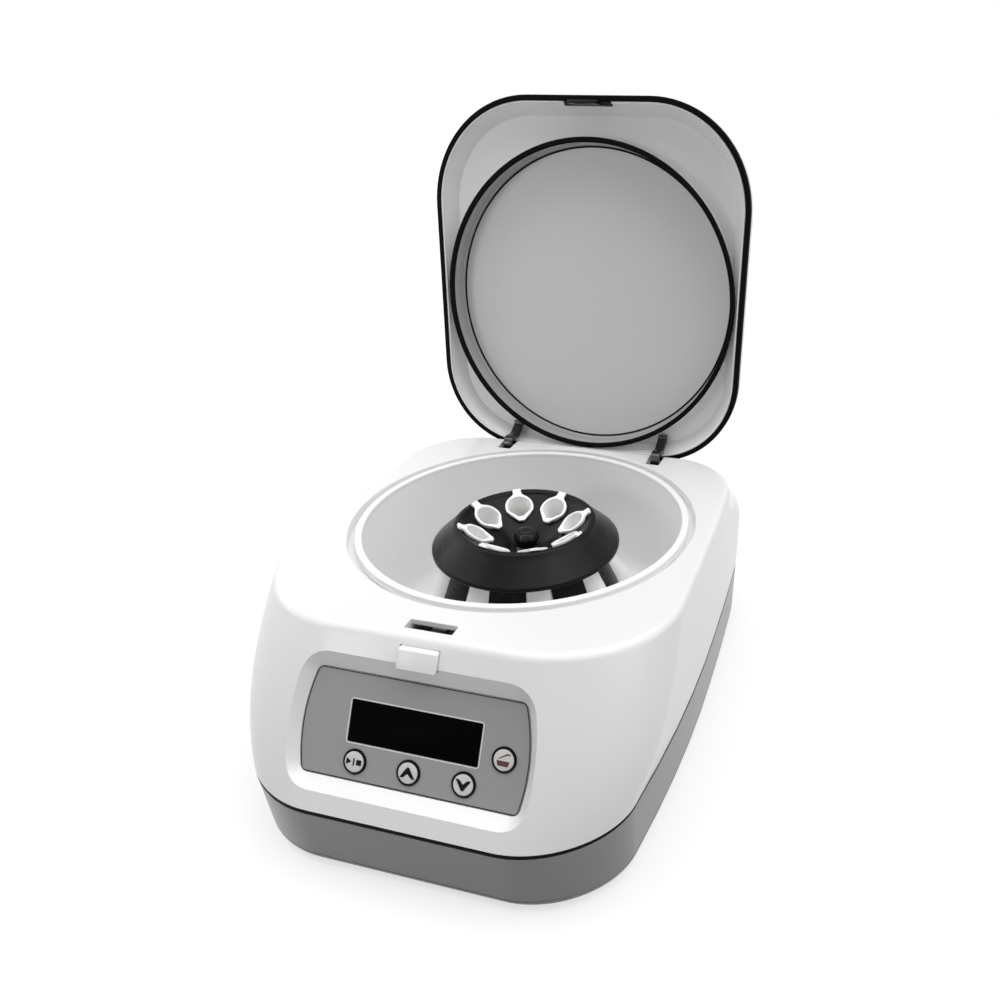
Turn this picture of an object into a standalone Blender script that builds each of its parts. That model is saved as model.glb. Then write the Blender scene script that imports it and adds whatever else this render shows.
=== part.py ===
# Mini centrifuge with an eight-place angle rotor and a lid hinged at the back.
# Metres, +Z up, the front faces -Y. The origin is where the rotor's axis meets the flat underside.
# The lid stands open, as it does when tubes are loaded.
import math

import bmesh
import bpy
from mathutils import Matrix, Vector

# Clearances shared by all pieces
gap = 0.0003
overrun = 0.004

# Body heights
deck_height = 0.126
parting_height = 0.041
seam_gap = 0.0018
wall = 0.003
wall_inset_share = 0.8
floor_thickness = 0.003

# Body plan at the deck, at the parting line and at the underside
body_half_width = 0.1222
deck_draft = 0.0014
base_draft = 0.0007
deck_half_width = body_half_width - deck_draft
deck_front_extra = 0.0157
deck_back_margin = 0.0043
deck_front = deck_half_width + deck_front_extra
deck_back = deck_half_width - deck_back_margin
deck_corner_x = deck_half_width * 0.61258
deck_corner_y = deck_half_width * 0.57119
deck_back_corner = deck_half_width * 0.36424
deck_fillet = 0.003
front_reach = 0.0513
back_reach = 0.0555
parting_front = deck_front + front_reach
parting_back = deck_back + back_reach
parting_half_width = body_half_width
parting_corner_x = body_half_width * 0.49918
parting_corner_y = body_half_width * 0.40098
parting_back_corner = body_half_width * 0.45008
parting_front_narrowing = body_half_width * 0.15548
back_narrowing = 0.0055
front_bulge = 0.001
side_bulge = 0.0015
base_front_draft = 0.0044
base_back_draft = 0.005
base_front = parting_front - base_front_draft
base_back = parting_back - base_back_draft
base_half_width = body_half_width - base_draft
base_corner_x = body_half_width * 0.47463
base_corner_y = body_half_width * 0.38462
base_front_narrowing = body_half_width * 0.14321
base_fillet = 0.003

# Lid well behind the deck: drops below the deck, and how far back the body reaches there
well_drops = (0.016, 0.019, 0.023, 0.029, 0.038, 0.051)
well_reaches = (0.001, 0.0075, 0.0235, 0.0365, 0.0465, 0.0525)

# Rotor chamber
chamber_margin = 0.0208
rim_width = 0.0045
moat_width = 0.0043
chamber_radius = deck_half_width - chamber_margin
rim_radius = chamber_radius + rim_width
rim_height = 0.0057
moat_radius = rim_radius + moat_width
collar_wall = 0.003
bowl_wall = 0.002
bowl_corner = 0.012
bowl_depth = 0.084
bowl_floor = deck_height - bowl_depth
dome_radius = 0.036
dome_depth = 0.062
dome_top = deck_height - dome_depth
dome_corner = 0.004
dome_hole = 0.010

# Motor, its shaft and its seat
shaft_radius = 0.004
shaft_depth = 0.013
shaft_top = deck_height - shaft_depth
motor_radius = 0.030
motor_bottom = 0.0163
motor_depth = 0.071
motor_top = deck_height - motor_depth
motor_boss_radius = 0.011
motor_boss_height = 0.004
motor_chamfer = 0.002
plate_half = 0.047
plate_thickness = 0.002
plate_corner = 0.008
isolator_spread = 0.038
isolator_radius = 0.008
isolator_waist = 0.0055
seal_radius = 0.015
seal_height = 0.003

# Rotor
tube_count = 8
tube_angle = math.radians(32)
tube_phase = math.radians(30)
mouth_radius = 0.030
mouth_drop = 0.0075
sleeve_radius = 0.0088
sleeve_bore = 0.0077
sleeve_length = 0.084
tab_reach = 0.0138
tab_half_width = 0.0028
tip_reach = 0.0110
tip_half_width = 0.0018
flange_radius = 0.0094
flange_thickness = 0.0015
lip_outer = 0.0457
lip_inner = 0.0403
lip_round = 0.0015
lip_drop = 0.0023
skirt_radius = 0.060
skirt_drop = 0.0198
skirt_edge = 0.0028
hub_recess_radius = 0.016
hub_boss_radius = 0.0115
hub_boss_drop = 0.024
cone_top_radius = 0.043
cone_top_drop = 0.0128
cone_bottom_radius = 0.059
cone_bottom_drop = 0.052
rotor_pocket_radius = 0.045
rotor_pocket_drop = 0.028
hub_bottom_radius = 0.0125
hub_pocket_radius = 0.022
hub_bottom_drop = 0.056
nut_radius = 0.0082
nut_height = 0.009
nut_waist = 0.0064
nut_top_gap = 0.002

# Lid, sized shut
lid_side_margin = 0.0088
lid_front_margin = 0.0065
lid_back_margin = 0.0055
lid_half_width = deck_half_width - lid_side_margin
lid_front = deck_front - lid_front_margin
lid_back = deck_back - lid_back_margin
lid_front_corner = lid_half_width * 0.625
lid_back_corner = lid_half_width * 0.54464
lid_clearance = 0.0004
trim_width = 0.0032
trim_height = 0.0052
cover_wall = 0.0025
cover_rises = (0.0, 0.0083, 0.0133, 0.0173, 0.0208, 0.0238, 0.0248)
cover_insets = (0.0, 0.0003, 0.0015, 0.0045, 0.0110, 0.0300, 0.0600)
tray_depth = 0.012
tray_rim_width = 0.0012
tray_border = 0.0078
tray_skin = 0.0018
ring_margin = 0.0008
ring_outer = rim_radius + ring_margin
ring_wall = 0.0024
ring_gasket_height = 0.0022
ring_gasket_lip = 0.0005
disc_depth = 0.0165
lid_open_angle = math.radians(96.6)

# Hinge
hinge_setback = 0.0043
hinge_y = deck_back - hinge_setback
hinge_drop = 0.0073
hinge_spread = lid_half_width * 0.51339
arm_half_width = 0.0033
arm_half_thickness = 0.002
arm_line_reaches = (0.0053, 0.0083, 0.0115, 0.0135, 0.0142, 0.0142, 0.0195, 0.0210, 0.0235)
arm_line_drops = (0.0110, 0.0124, 0.0124, 0.0112, 0.0085, 0.0002, -0.0080, -0.0094, -0.0096)
eye_radius = 0.0042
pin_radius = 0.0017
pin_half_length = 0.0115
notch_half_width = 0.005
notch_reach = 0.0175
notch_front = deck_back - notch_reach
notch_depth = 0.0155
knuckle_width = 0.007
knuckle_reach = 0.0125
knuckle_front = deck_back - knuckle_reach
knuckle_depth = 0.0145

# Striker and latch
striker_setback = 0.0048
striker_y = lid_front - striker_setback
striker_half_width = 0.016
striker_thickness = 0.0024
tongue_half_width = 0.0095
tongue_reach = 0.0125
tongue_eye_half_width = 0.0058
tongue_eye_height = 0.0046
slot_half_width = 0.0135
slot_reach = 0.0050
slot_room = 0.0026
slot_front = striker_y + slot_reach
slot_back = striker_y - slot_room
slide_thickness = 0.003
slide_drop = 0.0065
slide_half_width = 0.014
slide_rail = 0.003
slide_reach = 0.0097
slide_back = striker_y - slide_reach
nose_half_width = 0.004
nose_clearance = 0.0004
guide_wall = 0.0025
guide_reach = 0.0117
guide_back = striker_y - guide_reach
guide_depth = 0.0125
solenoid_radius = 0.008
solenoid_length = 0.024
solenoid_drop = 0.012

# Release button at the top of the front
button_half_width = 0.011
button_top_drop = 0.0045
button_height = 0.0092
button_proud = 0.0029
button_sunk = 0.0015
button_travel = 0.002
button_edge = 0.0012
button_stem_half_width = 0.005

# Control panel, in its own leaning plane, as shares of the front slope and of the body's half width
front_height = deck_height - parting_height
slope_length = math.hypot(front_height, front_reach)
panel_lean = math.atan2(front_reach, front_height)
panel_share = 0.294118
panel_sink = 0.007112
panel_y = panel_sink - parting_front + front_reach * panel_share
panel_z = parting_height + front_height * panel_share
panel_top = slope_length * 0.42909
panel_bottom = slope_length * 0.14001
panel_top_half = body_half_width * 0.47791
panel_bottom_half = body_half_width * 0.5
panel_bow = 0.0042
panel_corner = 0.004
panel_thickness = 0.0012
recess_depth = 0.006
recess_side = 0.005
recess_top = 0.0085
recess_bottom = 0.0068
recess_corner = 0.014
recess_floor = 0.003
pocket_wall = 0.003
display_half_width = body_half_width * 0.29951
display_low = slope_length * 0.06446
display_high = slope_length * 0.28203
display_proud = 0.0002
key_radius = 0.0065
key_proud = 0.0008
key_dome = 0.0004
key_stem_radius = 0.003
key_travel = 0.0006
key_row_height = slope_length * -0.03727
key_pitch = body_half_width * 0.25205
lid_key_x = body_half_width * 0.41244
lid_key_height = slope_length * 0.12691
board_thickness = 0.0016
display_board_margin = 0.006
board_post_radius = 0.0025
board_post_height = 0.0026

# Base tray, feet and what stands in it
boss_radius = 0.005
front_boss_inset = 0.0352
front_boss_setback = 0.0315
back_boss_inset = 0.0322
back_boss_setback = 0.0245
front_boss_x = body_half_width - front_boss_inset
front_boss_y = -deck_front + front_boss_setback
back_boss_x = body_half_width - back_boss_inset
back_boss_y = deck_back - back_boss_setback
foot_radius = 0.010
foot_height = 0.005
foot_seat = 0.001
foot_inset = 0.0335
foot_front_setback = 0.0534
foot_back_setback = 0.042
foot_x = base_half_width - foot_inset
foot_front_y = -base_front + foot_front_setback
foot_back_y = base_back - foot_back_setback
vent_half_width = 0.0015
vent_half_length = 0.022
vent_pitch = 0.008
vent_count = 5
vent_y = 0.078
louvre_half_width = 0.0016
louvre_half_height = 0.011
louvre_pitch = 0.0085
louvre_count = 7
louvre_rise = 0.025
louvre_z = parting_height + louvre_rise
main_board_half_x = 0.055
main_board_half_y = 0.022
main_board_setback = 0.0454
main_board_y = -base_front + main_board_setback
main_board_z = 0.010
supply_half_x = 0.024
supply_half_y = 0.019
supply_height = 0.026
supply_x = 0.045
supply_setback = 0.037
supply_y = base_back - supply_setback

# Mains inlet, switch and fuse in the back of the base
inlet_x = -0.034
inlet_z = 0.021
inlet_half_width = 0.0135
inlet_half_height = 0.010
inlet_flange = 0.003
inlet_flange_thickness = 0.0018
inlet_depth = 0.022
socket_half_width = 0.0112
socket_half_height = 0.0078
socket_depth = 0.015
blade_half_width = 0.001
blade_half_height = 0.002
blade_length = 0.010
blade_spread = 0.007
blade_rise = 0.002
switch_x = 0.012
switch_half_width = 0.0075
switch_half_height = 0.0105
switch_frame = 0.0017
switch_depth = 0.014
rocker_lean = math.radians(9)
rocker_radius = 0.0115
fuse_x = -0.008
fuse_radius = 0.0065
fuse_proud = 0.004
fuse_depth = 0.020

# How finely curves are divided
corner_steps = 6
side_steps = 3
turn_steps = 40
small_steps = 20
sleeve_steps = 14
round_angle = math.radians(35)

# Heights and places worked out from the sizes above
hinge_z = deck_height - hinge_drop
upper_bottom = parting_height + seam_gap / 2
base_top = parting_height - seam_gap / 2
bowl_seat = deck_height - rim_height
edge_z = deck_height + lid_clearance
trim_top = edge_z + trim_height
tray_floor = edge_z + tray_depth
disc_floor = edge_z + disc_depth
slide_top = deck_height - slide_drop
slide_bottom = slide_top - slide_thickness


def clear_scene():
    for item in list(bpy.data.objects):
        bpy.data.objects.remove(item, do_unlink=True)


def finish_material(name, colour, roughness, metallic=0.0):
    """A plain Principled finish, one for each kind of stuff."""
    found = bpy.data.materials.get(name)
    if found:
        return found
    made = bpy.data.materials.new(name)
    made.use_nodes = True
    shader = made.node_tree.nodes["Principled BSDF"]
    shader.inputs["Base Color"].default_value = (*colour, 1.0)
    shader.inputs["Roughness"].default_value = roughness
    shader.inputs["Metallic"].default_value = metallic
    made.diffuse_color = (*colour, 1.0)
    return made


def stuff(kind):
    kinds = {
        "white_abs": ((0.86, 0.86, 0.85), 0.38, 0.0),
        "grey_abs": ((0.36, 0.36, 0.37), 0.42, 0.0),
        "lid_grey": ((0.62, 0.63, 0.63), 0.40, 0.0),
        "bowl_grey": ((0.74, 0.74, 0.73), 0.32, 0.0),
        "rubber": ((0.02, 0.02, 0.02), 0.70, 0.0),
        "rotor_black": ((0.03, 0.03, 0.03), 0.32, 0.1),
        "sleeve_plastic": ((0.82, 0.83, 0.82), 0.45, 0.0),
        "steel": ((0.55, 0.56, 0.58), 0.28, 1.0),
        "dark_steel": ((0.06, 0.06, 0.065), 0.35, 0.8),
        "panel_film": ((0.30, 0.30, 0.30), 0.40, 0.0),
        "display_glass": ((0.01, 0.01, 0.012), 0.08, 0.0),
        "key_grey": ((0.66, 0.66, 0.65), 0.40, 0.0),
        "board": ((0.02, 0.16, 0.06), 0.50, 0.0),
        "black_plastic": ((0.03, 0.03, 0.03), 0.45, 0.0),
    }
    return finish_material(kind, *kinds[kind])


def temporary(bm, frame=None):
    """A mesh object made from a bmesh, with its faces turned outwards."""
    bmesh.ops.recalc_face_normals(bm, faces=bm.faces)
    mesh = bpy.data.meshes.new("shape")
    bm.to_mesh(mesh)
    bm.free()
    item = bpy.data.objects.new("shape", mesh)
    bpy.context.scene.collection.objects.link(item)
    if frame is not None:
        item.matrix_world = frame
    return item


def combine(target, tools, operation):
    """Joins or cuts the target with each tool in turn and drops the tools."""
    for tool in tools:
        step = target.modifiers.new("combine", "BOOLEAN")
        step.operation = operation
        step.solver = "EXACT"
        step.object = tool
        bpy.context.view_layer.update()
        graph = bpy.context.evaluated_depsgraph_get()
        mesh = bpy.data.meshes.new_from_object(target.evaluated_get(graph))
        target.modifiers.clear()
        target.data = mesh
        bpy.data.objects.remove(tool, do_unlink=True)
    return target


def join(target, *tools):
    return combine(target, tools, "UNION")


def cut(target, *tools):
    return combine(target, tools, "DIFFERENCE")


def piece(name, item, kind, parent=None):
    """Names a finished shape, gives it its stuff and rounds its shading."""
    item.name = name
    item.data.name = name
    item.data.materials.clear()
    item.data.materials.append(stuff(kind))
    item.data.shade_smooth()
    item.data.set_sharp_from_angle(angle=round_angle)
    if parent is not None:
        item.parent = parent
    return item


def axis_empty(name, frame):
    """An empty on a joint's axis or in a leaning plane, which carries its pieces."""
    item = bpy.data.objects.new(name, None)
    bpy.context.scene.collection.objects.link(item)
    item.matrix_world = frame
    bpy.context.view_layer.update()
    return item


def loft(rings):
    """A closed solid through rings of equal count, from the lowest to the highest."""
    bm = bmesh.new()
    rows = [[bm.verts.new(point) for point in ring] for ring in rings]
    count = len(rows[0])
    for lower, upper in zip(rows, rows[1:]):
        for i in range(count):
            j = (i + 1) % count
            bm.faces.new((lower[i], lower[j], upper[j], upper[i]))
    bm.faces.new(list(reversed(rows[0])))
    bm.faces.new(rows[-1])
    return bm


def looped(rings):
    """A closed hoop through rings of equal count, the last joined to the first."""
    bm = bmesh.new()
    rows = [[bm.verts.new(point) for point in ring] for ring in rings]
    count = len(rows[0])
    for one, two in zip(rows, rows[1:] + rows[:1]):
        for i in range(count):
            j = (i + 1) % count
            bm.faces.new((one[i], one[j], two[j], two[i]))
    return bm


def turned(profile, steps=turn_steps, phase=0.0):
    """A solid turned round Z from (radius, height) points, closed through the axis or on itself."""
    bm = bmesh.new()
    rows = []
    for radius, height in profile:
        if radius == 0:
            rows.append([bm.verts.new((0, 0, height))])
            continue
        row = []
        for i in range(steps):
            angle = phase + math.tau * i / steps
            row.append(bm.verts.new((radius * math.cos(angle), radius * math.sin(angle), height)))
        rows.append(row)
    pairs = list(zip(rows, rows[1:]))
    if profile[0][0] != 0:
        pairs.append((rows[-1], rows[0]))
    for one, two in pairs:
        for i in range(steps):
            j = (i + 1) % steps
            corners = [one[i % len(one)], one[j % len(one)], two[j % len(two)], two[i % len(two)]]
            unique = list(dict.fromkeys(corners))
            if len(unique) > 2:
                bm.faces.new(unique)
    return bm


def block(low, high):
    """A plain box from its lowest to its highest corner."""
    (x0, y0, z0), (x1, y1, z1) = low, high
    plan = [(x0, y0), (x1, y0), (x1, y1), (x0, y1)]
    return loft([[(x, y, z) for x, y in plan] for z in (z0, z1)])


def side_prism(points, x_low, x_high):
    """A shape drawn in (y, z) and drawn out along X."""
    return loft([[(x, y, z) for y, z in points] for x in (x_low, x_high)])


def rounded_plan(half_x, half_y, radius, steps=3):
    """An anticlockwise rectangle with round corners."""
    points = []
    for quarter, (sx, sy) in enumerate(((1, -1), (1, 1), (-1, 1), (-1, -1))):
        for k in range(steps + 1):
            angle = math.radians(90) * (quarter - 1 + k / steps)
            x = sx * (half_x - radius) + radius * math.cos(angle)
            y = sy * (half_y - radius) + radius * math.sin(angle)
            points.append((x, y))
    return points


def raised(plan, low, high, chamfer=0.0):
    """A plan drawn out from low to high, with its top edge drawn in by a chamfer."""
    rings = [[(x, y, low) for x, y in plan]]
    if chamfer:
        cx = sum(x for x, _ in plan) / len(plan)
        cy = sum(y for _, y in plan) / len(plan)
        rings.append([(x, y, high - chamfer) for x, y in plan])
        drawn = []
        for x, y in plan:
            away = Vector((x - cx, y - cy))
            away *= 1 - chamfer / away.length
            drawn.append((cx + away.x, cy + away.y, high))
        rings.append(drawn)
    else:
        rings.append([(x, y, high) for x, y in plan])
    return loft(rings)


def mix(a, b, share):
    return a + (b - a) * share


def body_plan(front, back, half_width, corner_x, corner_y, back_corner, narrowing, inset):
    """The body's outline seen from above, anticlockwise, with sides that bow out in the middle."""
    front -= inset
    back -= inset
    half_width -= inset
    corner_x = max(corner_x - inset, inset)
    corner_y = max(corner_y - inset, inset)
    back_corner = max(back_corner - inset, inset)
    right = []
    for k in range(corner_steps + 1):
        angle = math.radians(90) * k / corner_steps
        x = half_width - corner_x + corner_x * math.sin(angle)
        right.append((x, -front + corner_y - corner_y * math.cos(angle)))
    start = -front + corner_y
    end = back - back_corner
    for k in range(1, side_steps):
        right.append((half_width, mix(start, end, k / side_steps)))
    for k in range(corner_steps + 1):
        angle = math.radians(90) * k / corner_steps
        x = half_width - back_corner + back_corner * math.cos(angle)
        right.append((x, end + back_corner * math.sin(angle)))
    bowed = []
    for x, y in right:
        reach, drawn = (front, narrowing) if y < 0 else (back, back_narrowing)
        bowed.append((x * (1 - drawn / half_width * (y / reach) ** 2), y))
    return bowed + [(-x, y) for x, y in reversed(bowed)]


def well_reach(z):
    """How far back the body reaches at a height above the parting line."""
    drop = deck_height - z
    steps = [(0.0, 0.0)] + list(zip(well_drops, well_reaches))
    steps.append((deck_height - parting_height, parting_back - deck_back))
    for (d0, r0), (d1, r1) in zip(steps, steps[1:]):
        if drop <= d1:
            return deck_back + mix(r0, r1, max(drop - d0, 0.0) / (d1 - d0))
    return parting_back


def body_ring(z, inset=0.0, lift=0.0):
    """One outline of the body at a height, drawn in by an inset and moved down by a lift."""
    if z >= parting_height:
        share = (deck_height - z) / (deck_height - parting_height)
        plan = body_plan(
            mix(deck_front, parting_front, share) + front_bulge * math.sin(math.pi * share),
            well_reach(z),
            mix(deck_half_width, parting_half_width, share) + side_bulge * math.sin(math.pi * share),
            mix(deck_corner_x, parting_corner_x, share),
            mix(deck_corner_y, parting_corner_y, share),
            mix(deck_back_corner, parting_back_corner, share),
            parting_front_narrowing * share ** 3,
            inset,
        )
    else:
        share = 1 - z / parting_height
        plan = body_plan(
            mix(parting_front, base_front, share),
            mix(parting_back, base_back, share),
            mix(parting_half_width, base_half_width, share),
            mix(parting_corner_x, base_corner_x, share),
            mix(parting_corner_y, base_corner_y, share),
            parting_back_corner,
            mix(parting_front_narrowing, base_front_narrowing, share),
            inset,
        )
    return [(x, y, z - lift) for x, y in plan]


def upper_levels():
    """Heights of the upper housing's outlines, lowest first, below the deck's fillet."""
    levels = [deck_height - drop for drop in reversed(well_drops)]
    below = mix(upper_bottom, levels[0], 1 / 2)
    return [upper_bottom, below] + levels


def upper_shell():
    outer = [body_ring(z) for z in upper_levels()]
    for k in range(3):
        angle = math.radians(90) * k / 2
        inset = deck_fillet * (1 - math.cos(angle))
        outer.append(body_ring(deck_height - deck_fillet * (1 - math.sin(angle)), inset))
    inner = [body_ring(upper_bottom, wall)]
    inner += [body_ring(z, wall, wall) for z in upper_levels()[1:]]
    inner.append(body_ring(deck_height, wall, wall))
    return temporary(loft(list(reversed(inner)) + outer))


def collar():
    """The ring under the deck that the chamber bowl's rim stands in."""
    outer = moat_radius + collar_wall
    inner = chamber_radius + bowl_wall + gap
    low = bowl_seat - gap - collar_wall
    high = deck_height - wall / 2
    return temporary(turned([(inner, low), (outer, low), (outer, high), (inner, high)]))


def screw_posts(bottom, top):
    for x, y in boss_places():
        yield temporary(moved(turned([(0, bottom), (boss_radius, bottom), (boss_radius, top), (0, top)],
                                     small_steps // 2), (x, y, 0)))


def boss_places():
    return [
        (-front_boss_x, front_boss_y),
        (front_boss_x, front_boss_y),
        (-back_boss_x, back_boss_y),
        (back_boss_x, back_boss_y),
    ]


def moved(bm, offset):
    bmesh.ops.translate(bm, verts=bm.verts, vec=offset)
    return bm


def turn_to(bm, axis):
    """Turns a shape made round Z so that its axis lies along the one named."""
    angle, about = {"X": (math.radians(90), "Y"), "Y": (math.radians(-90), "X")}[axis]
    bmesh.ops.rotate(bm, verts=bm.verts, cent=(0, 0, 0), matrix=Matrix.Rotation(angle, 3, about))
    return bm


def rod(radius, low, high, axis, at, steps=small_steps):
    """A round rod along an axis, from low to high, through a point."""
    bm = turned([(0, low), (radius, low), (radius, high), (0, high)], steps)
    if axis != "Z":
        turn_to(bm, axis)
    return moved(bm, at)


def knuckles(side):
    """The block under the deck that a hinge pin passes through."""
    x = side * hinge_spread
    half = notch_half_width + knuckle_width
    low = (x - half, knuckle_front, deck_height - knuckle_depth)
    high = (x + half, deck_back - gap, deck_height - wall / 2)
    return temporary(block(low, high))


def hinge_notch(side):
    x = side * hinge_spread
    low = (x - notch_half_width, notch_front, deck_height - notch_depth)
    high = (x + notch_half_width, deck_back + overrun, deck_height + overrun)
    return temporary(block(low, high))


def pin_bore(side):
    half = notch_half_width + knuckle_width + overrun
    return temporary(rod(pin_radius + gap, -half, half, "X", (side * hinge_spread, hinge_y, hinge_z)))


def panel_frame():
    lean = Matrix.Rotation(math.radians(90) - panel_lean, 4, "X")
    return Matrix.Translation((0, panel_y, panel_z)) @ lean


def panel_plan(side=0.0, top=0.0, bottom=0.0, corner=panel_corner):
    """The film's outline in its own plane, grown at its sides, top and bottom."""
    low = -panel_bottom - bottom
    high = panel_top + top

    def edge(share):
        x = mix(panel_bottom_half, panel_top_half, share) + side
        return x + panel_bow * 4 * share * (1 - share), mix(low, high, share)

    trim = corner / (high - low)
    right = []
    for share, level, first in ((trim, 0.0, True), (1 - trim, 1.0, False)):
        inner = (edge(level)[0] - corner, edge(level)[1])
        bend = [inner, edge(level), edge(share)]
        steps = [k / 4 for k in range(5)]
        curve = []
        for s in steps:
            x = (1 - s) ** 2 * bend[0][0] + 2 * s * (1 - s) * bend[1][0] + s * s * bend[2][0]
            y = (1 - s) ** 2 * bend[0][1] + 2 * s * (1 - s) * bend[1][1] + s * s * bend[2][1]
            curve.append((x, y))
        right += curve if first else list(reversed(curve))
        if first:
            right += [edge(mix(trim, 1 - trim, k / 4)) for k in range(1, 4)]
    return right + [(-x, y) for x, y in reversed(right)]


def panel_recess():
    """Cuts the film's seat and the sloped border round it."""
    flat = panel_plan(gap, gap, gap)
    wide = panel_plan(recess_side, recess_top, recess_bottom, recess_corner)
    rings = [[(x, y, -panel_thickness - gap) for x, y in flat], [(x, y, 0) for x, y in flat]]
    for k in (1, 2):
        rings.append([(mix(a, c, k), mix(b, d, k), recess_depth * k) for (a, b), (c, d) in zip(flat, wide)])
    return temporary(loft(rings), panel_frame())


def panel_pocket():
    """The tray behind the panel that closes the shell where the recess cuts through it."""
    small = panel_plan(pocket_wall, pocket_wall, pocket_wall, recess_corner / 2)
    large = panel_plan(pocket_wall + recess_side, pocket_wall + recess_top / 2, pocket_wall + recess_bottom,
                       recess_corner)
    low = -panel_thickness - gap - recess_floor
    high = recess_depth - wall / 2
    rings = [[(x, y, low) for x, y in small], [(x, y, 0) for x, y in small], [(x, y, high) for x, y in large]]
    return temporary(loft(rings), panel_frame())


def key_places():
    row = [(k * key_pitch, key_row_height) for k in (-1, 0, 1)]
    return row + [(lid_key_x, lid_key_height)]


def panel_openings():
    """Holes through the recess floor for the display and the keys' stems."""
    low = -panel_thickness - recess_floor - overrun
    width = display_half_width - panel_thickness
    yield temporary(block((-width, display_low + panel_thickness, low),
                          (width, display_high - panel_thickness, overrun)), panel_frame())
    for x, y in key_places():
        yield temporary(rod(key_stem_radius + gap, low, overrun, "Z", (x, y, 0), small_steps // 2), panel_frame())


def board_posts():
    """Posts behind the panel that the display board stands on."""
    low = -panel_thickness - gap - recess_floor - board_post_height
    for x in (-1, 1):
        for y in (-panel_bottom + board_post_radius, panel_top - board_post_radius):
            place = (x * (panel_top_half - board_post_radius - gap), y, 0)
            yield temporary(rod(board_post_radius, low, -panel_thickness - recess_floor / 2, "Z", place,
                                small_steps // 2), panel_frame())


def slope_point(z, offset):
    """A point (y, z) that lies a given way out from the panel's plane, at a height."""
    up = (z - panel_z - offset * math.sin(panel_lean)) / math.cos(panel_lean)
    return panel_y + up * math.sin(panel_lean) - offset * math.cos(panel_lean), z


def slope_prism(half_width, low, high, back, front):
    """A block between two heights and between two planes that lean as the panel does."""
    points = [slope_point(low, back), slope_point(high, back), slope_point(high, front), slope_point(low, front)]
    return side_prism(points, -half_width, half_width)


def button_heights():
    high = deck_height - button_top_drop
    return high - button_height, high


def button_seat():
    """A thick place behind the button, and the pocket and the stem hole cut in it."""
    low, high = button_heights()
    back = recess_depth - button_sunk - button_travel - gap
    around = temporary(slope_prism(button_half_width + wall, low - wall, deck_height - wall / 2, back - wall,
                                   recess_depth - wall / 2))
    pocket = temporary(slope_prism(button_half_width + gap, low - gap, high + gap, back, recess_depth + overrun))
    hole_low = (-button_stem_half_width - gap, -deck_front - 2 * wall, slide_bottom - gap)
    hole_high = (button_stem_half_width + gap, -slot_front, slide_top + gap)
    return around, pocket, temporary(block(hole_low, hole_high))


def louvres():
    """Tall vent slots in the back of the housing."""
    for k in range(louvre_count):
        x = (k - (louvre_count - 1) / 2) * louvre_pitch
        low = (x - louvre_half_width, deck_back + deck_back_corner, louvre_z - louvre_half_height)
        high = (x + louvre_half_width, parting_back + overrun, louvre_z + louvre_half_height)
        yield temporary(block(low, high))


def upper_housing():
    shell = upper_shell()
    around, pocket, hole = button_seat()
    join(shell, collar(), knuckles(-1), knuckles(1), panel_pocket(), around, *board_posts())
    join(shell, *screw_posts(parting_height + gap, deck_height - wall / 2))
    well = rod(moat_radius, bowl_seat - gap, deck_height + overrun, "Z", (0, 0, 0), turn_steps)
    opening = rod(chamber_radius + bowl_wall + gap, bowl_seat - collar_wall - overrun, deck_height + overrun, "Z",
                  (0, 0, 0), turn_steps)
    slot = block((-slot_half_width, -slot_front, deck_height - wall - overrun / 2),
                 (slot_half_width, -slot_back, deck_height + overrun))
    cut(shell, temporary(well), temporary(opening), temporary(slot))
    cut(shell, hinge_notch(-1), hinge_notch(1), pin_bore(-1), pin_bore(1))
    cut(shell, panel_recess(), pocket, hole, *panel_openings(), *louvres())
    return piece("upper_housing", shell, "white_abs")


def seam_gasket():
    """The dark strip let into the joint between the housing and the base."""
    low = base_top + gap
    high = upper_bottom - gap
    inset = seam_gap / 3
    rings = []
    for drawn, z in ((inset, low), (inset, high), (wall, high), (wall, low)):
        rings.append([(x, y, z) for x, y, _ in body_ring(parting_height, drawn)])
    return piece("seam_gasket", temporary(looped(rings)), "rubber")


def back_holes():
    """Openings in the back of the base for the inlet, the switch and the fuse."""
    near = base_back - wall - overrun
    far = parting_back + overrun
    yield temporary(block((inlet_x - inlet_half_width - gap, near, inlet_z - inlet_half_height - gap),
                          (inlet_x + inlet_half_width + gap, far, inlet_z + inlet_half_height + gap)))
    yield temporary(block((switch_x - switch_half_width - gap, near, inlet_z - switch_half_height - gap),
                          (switch_x + switch_half_width + gap, far, inlet_z + switch_half_height + gap)))
    yield temporary(rod(fuse_radius + gap, near, far, "Y", (fuse_x, 0, inlet_z)))


def floor_vents():
    """Two rows of slots in the floor, before and behind the motor."""
    for side in (-1, 1):
        for k in range(vent_count):
            x = (k - (vent_count - 1) / 2) * vent_pitch
            low = (x - vent_half_width, side * vent_y - vent_half_length, -overrun)
            high = (x + vent_half_width, side * vent_y + vent_half_length, floor_thickness + overrun)
            yield temporary(block(low, high))


def base_tray():
    outer = []
    for k in range(3):
        angle = math.radians(90) * k / 2
        inset = base_fillet * (1 - math.sin(angle))
        outer.append(body_ring(base_fillet * (1 - math.cos(angle)), inset))
    outer += [body_ring(mix(base_fillet, base_top, 1 / 2)), body_ring(base_top)]
    inner = [body_ring(floor_thickness, wall + base_fillet / 2), body_ring(2 * floor_thickness, wall)]
    inner.append(body_ring(base_top, wall))
    shell = temporary(loft(inner + list(reversed(outer))))
    join(shell, *screw_posts(floor_thickness / 2, parting_height - gap))
    join(shell, *board_stands())
    seats = [temporary(rod(foot_radius + gap, -overrun, foot_seat, "Z", place)) for place in foot_places().values()]
    cut(shell, *seats, *floor_vents(), *back_holes())
    return piece("base_tray", shell, "grey_abs")


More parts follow.
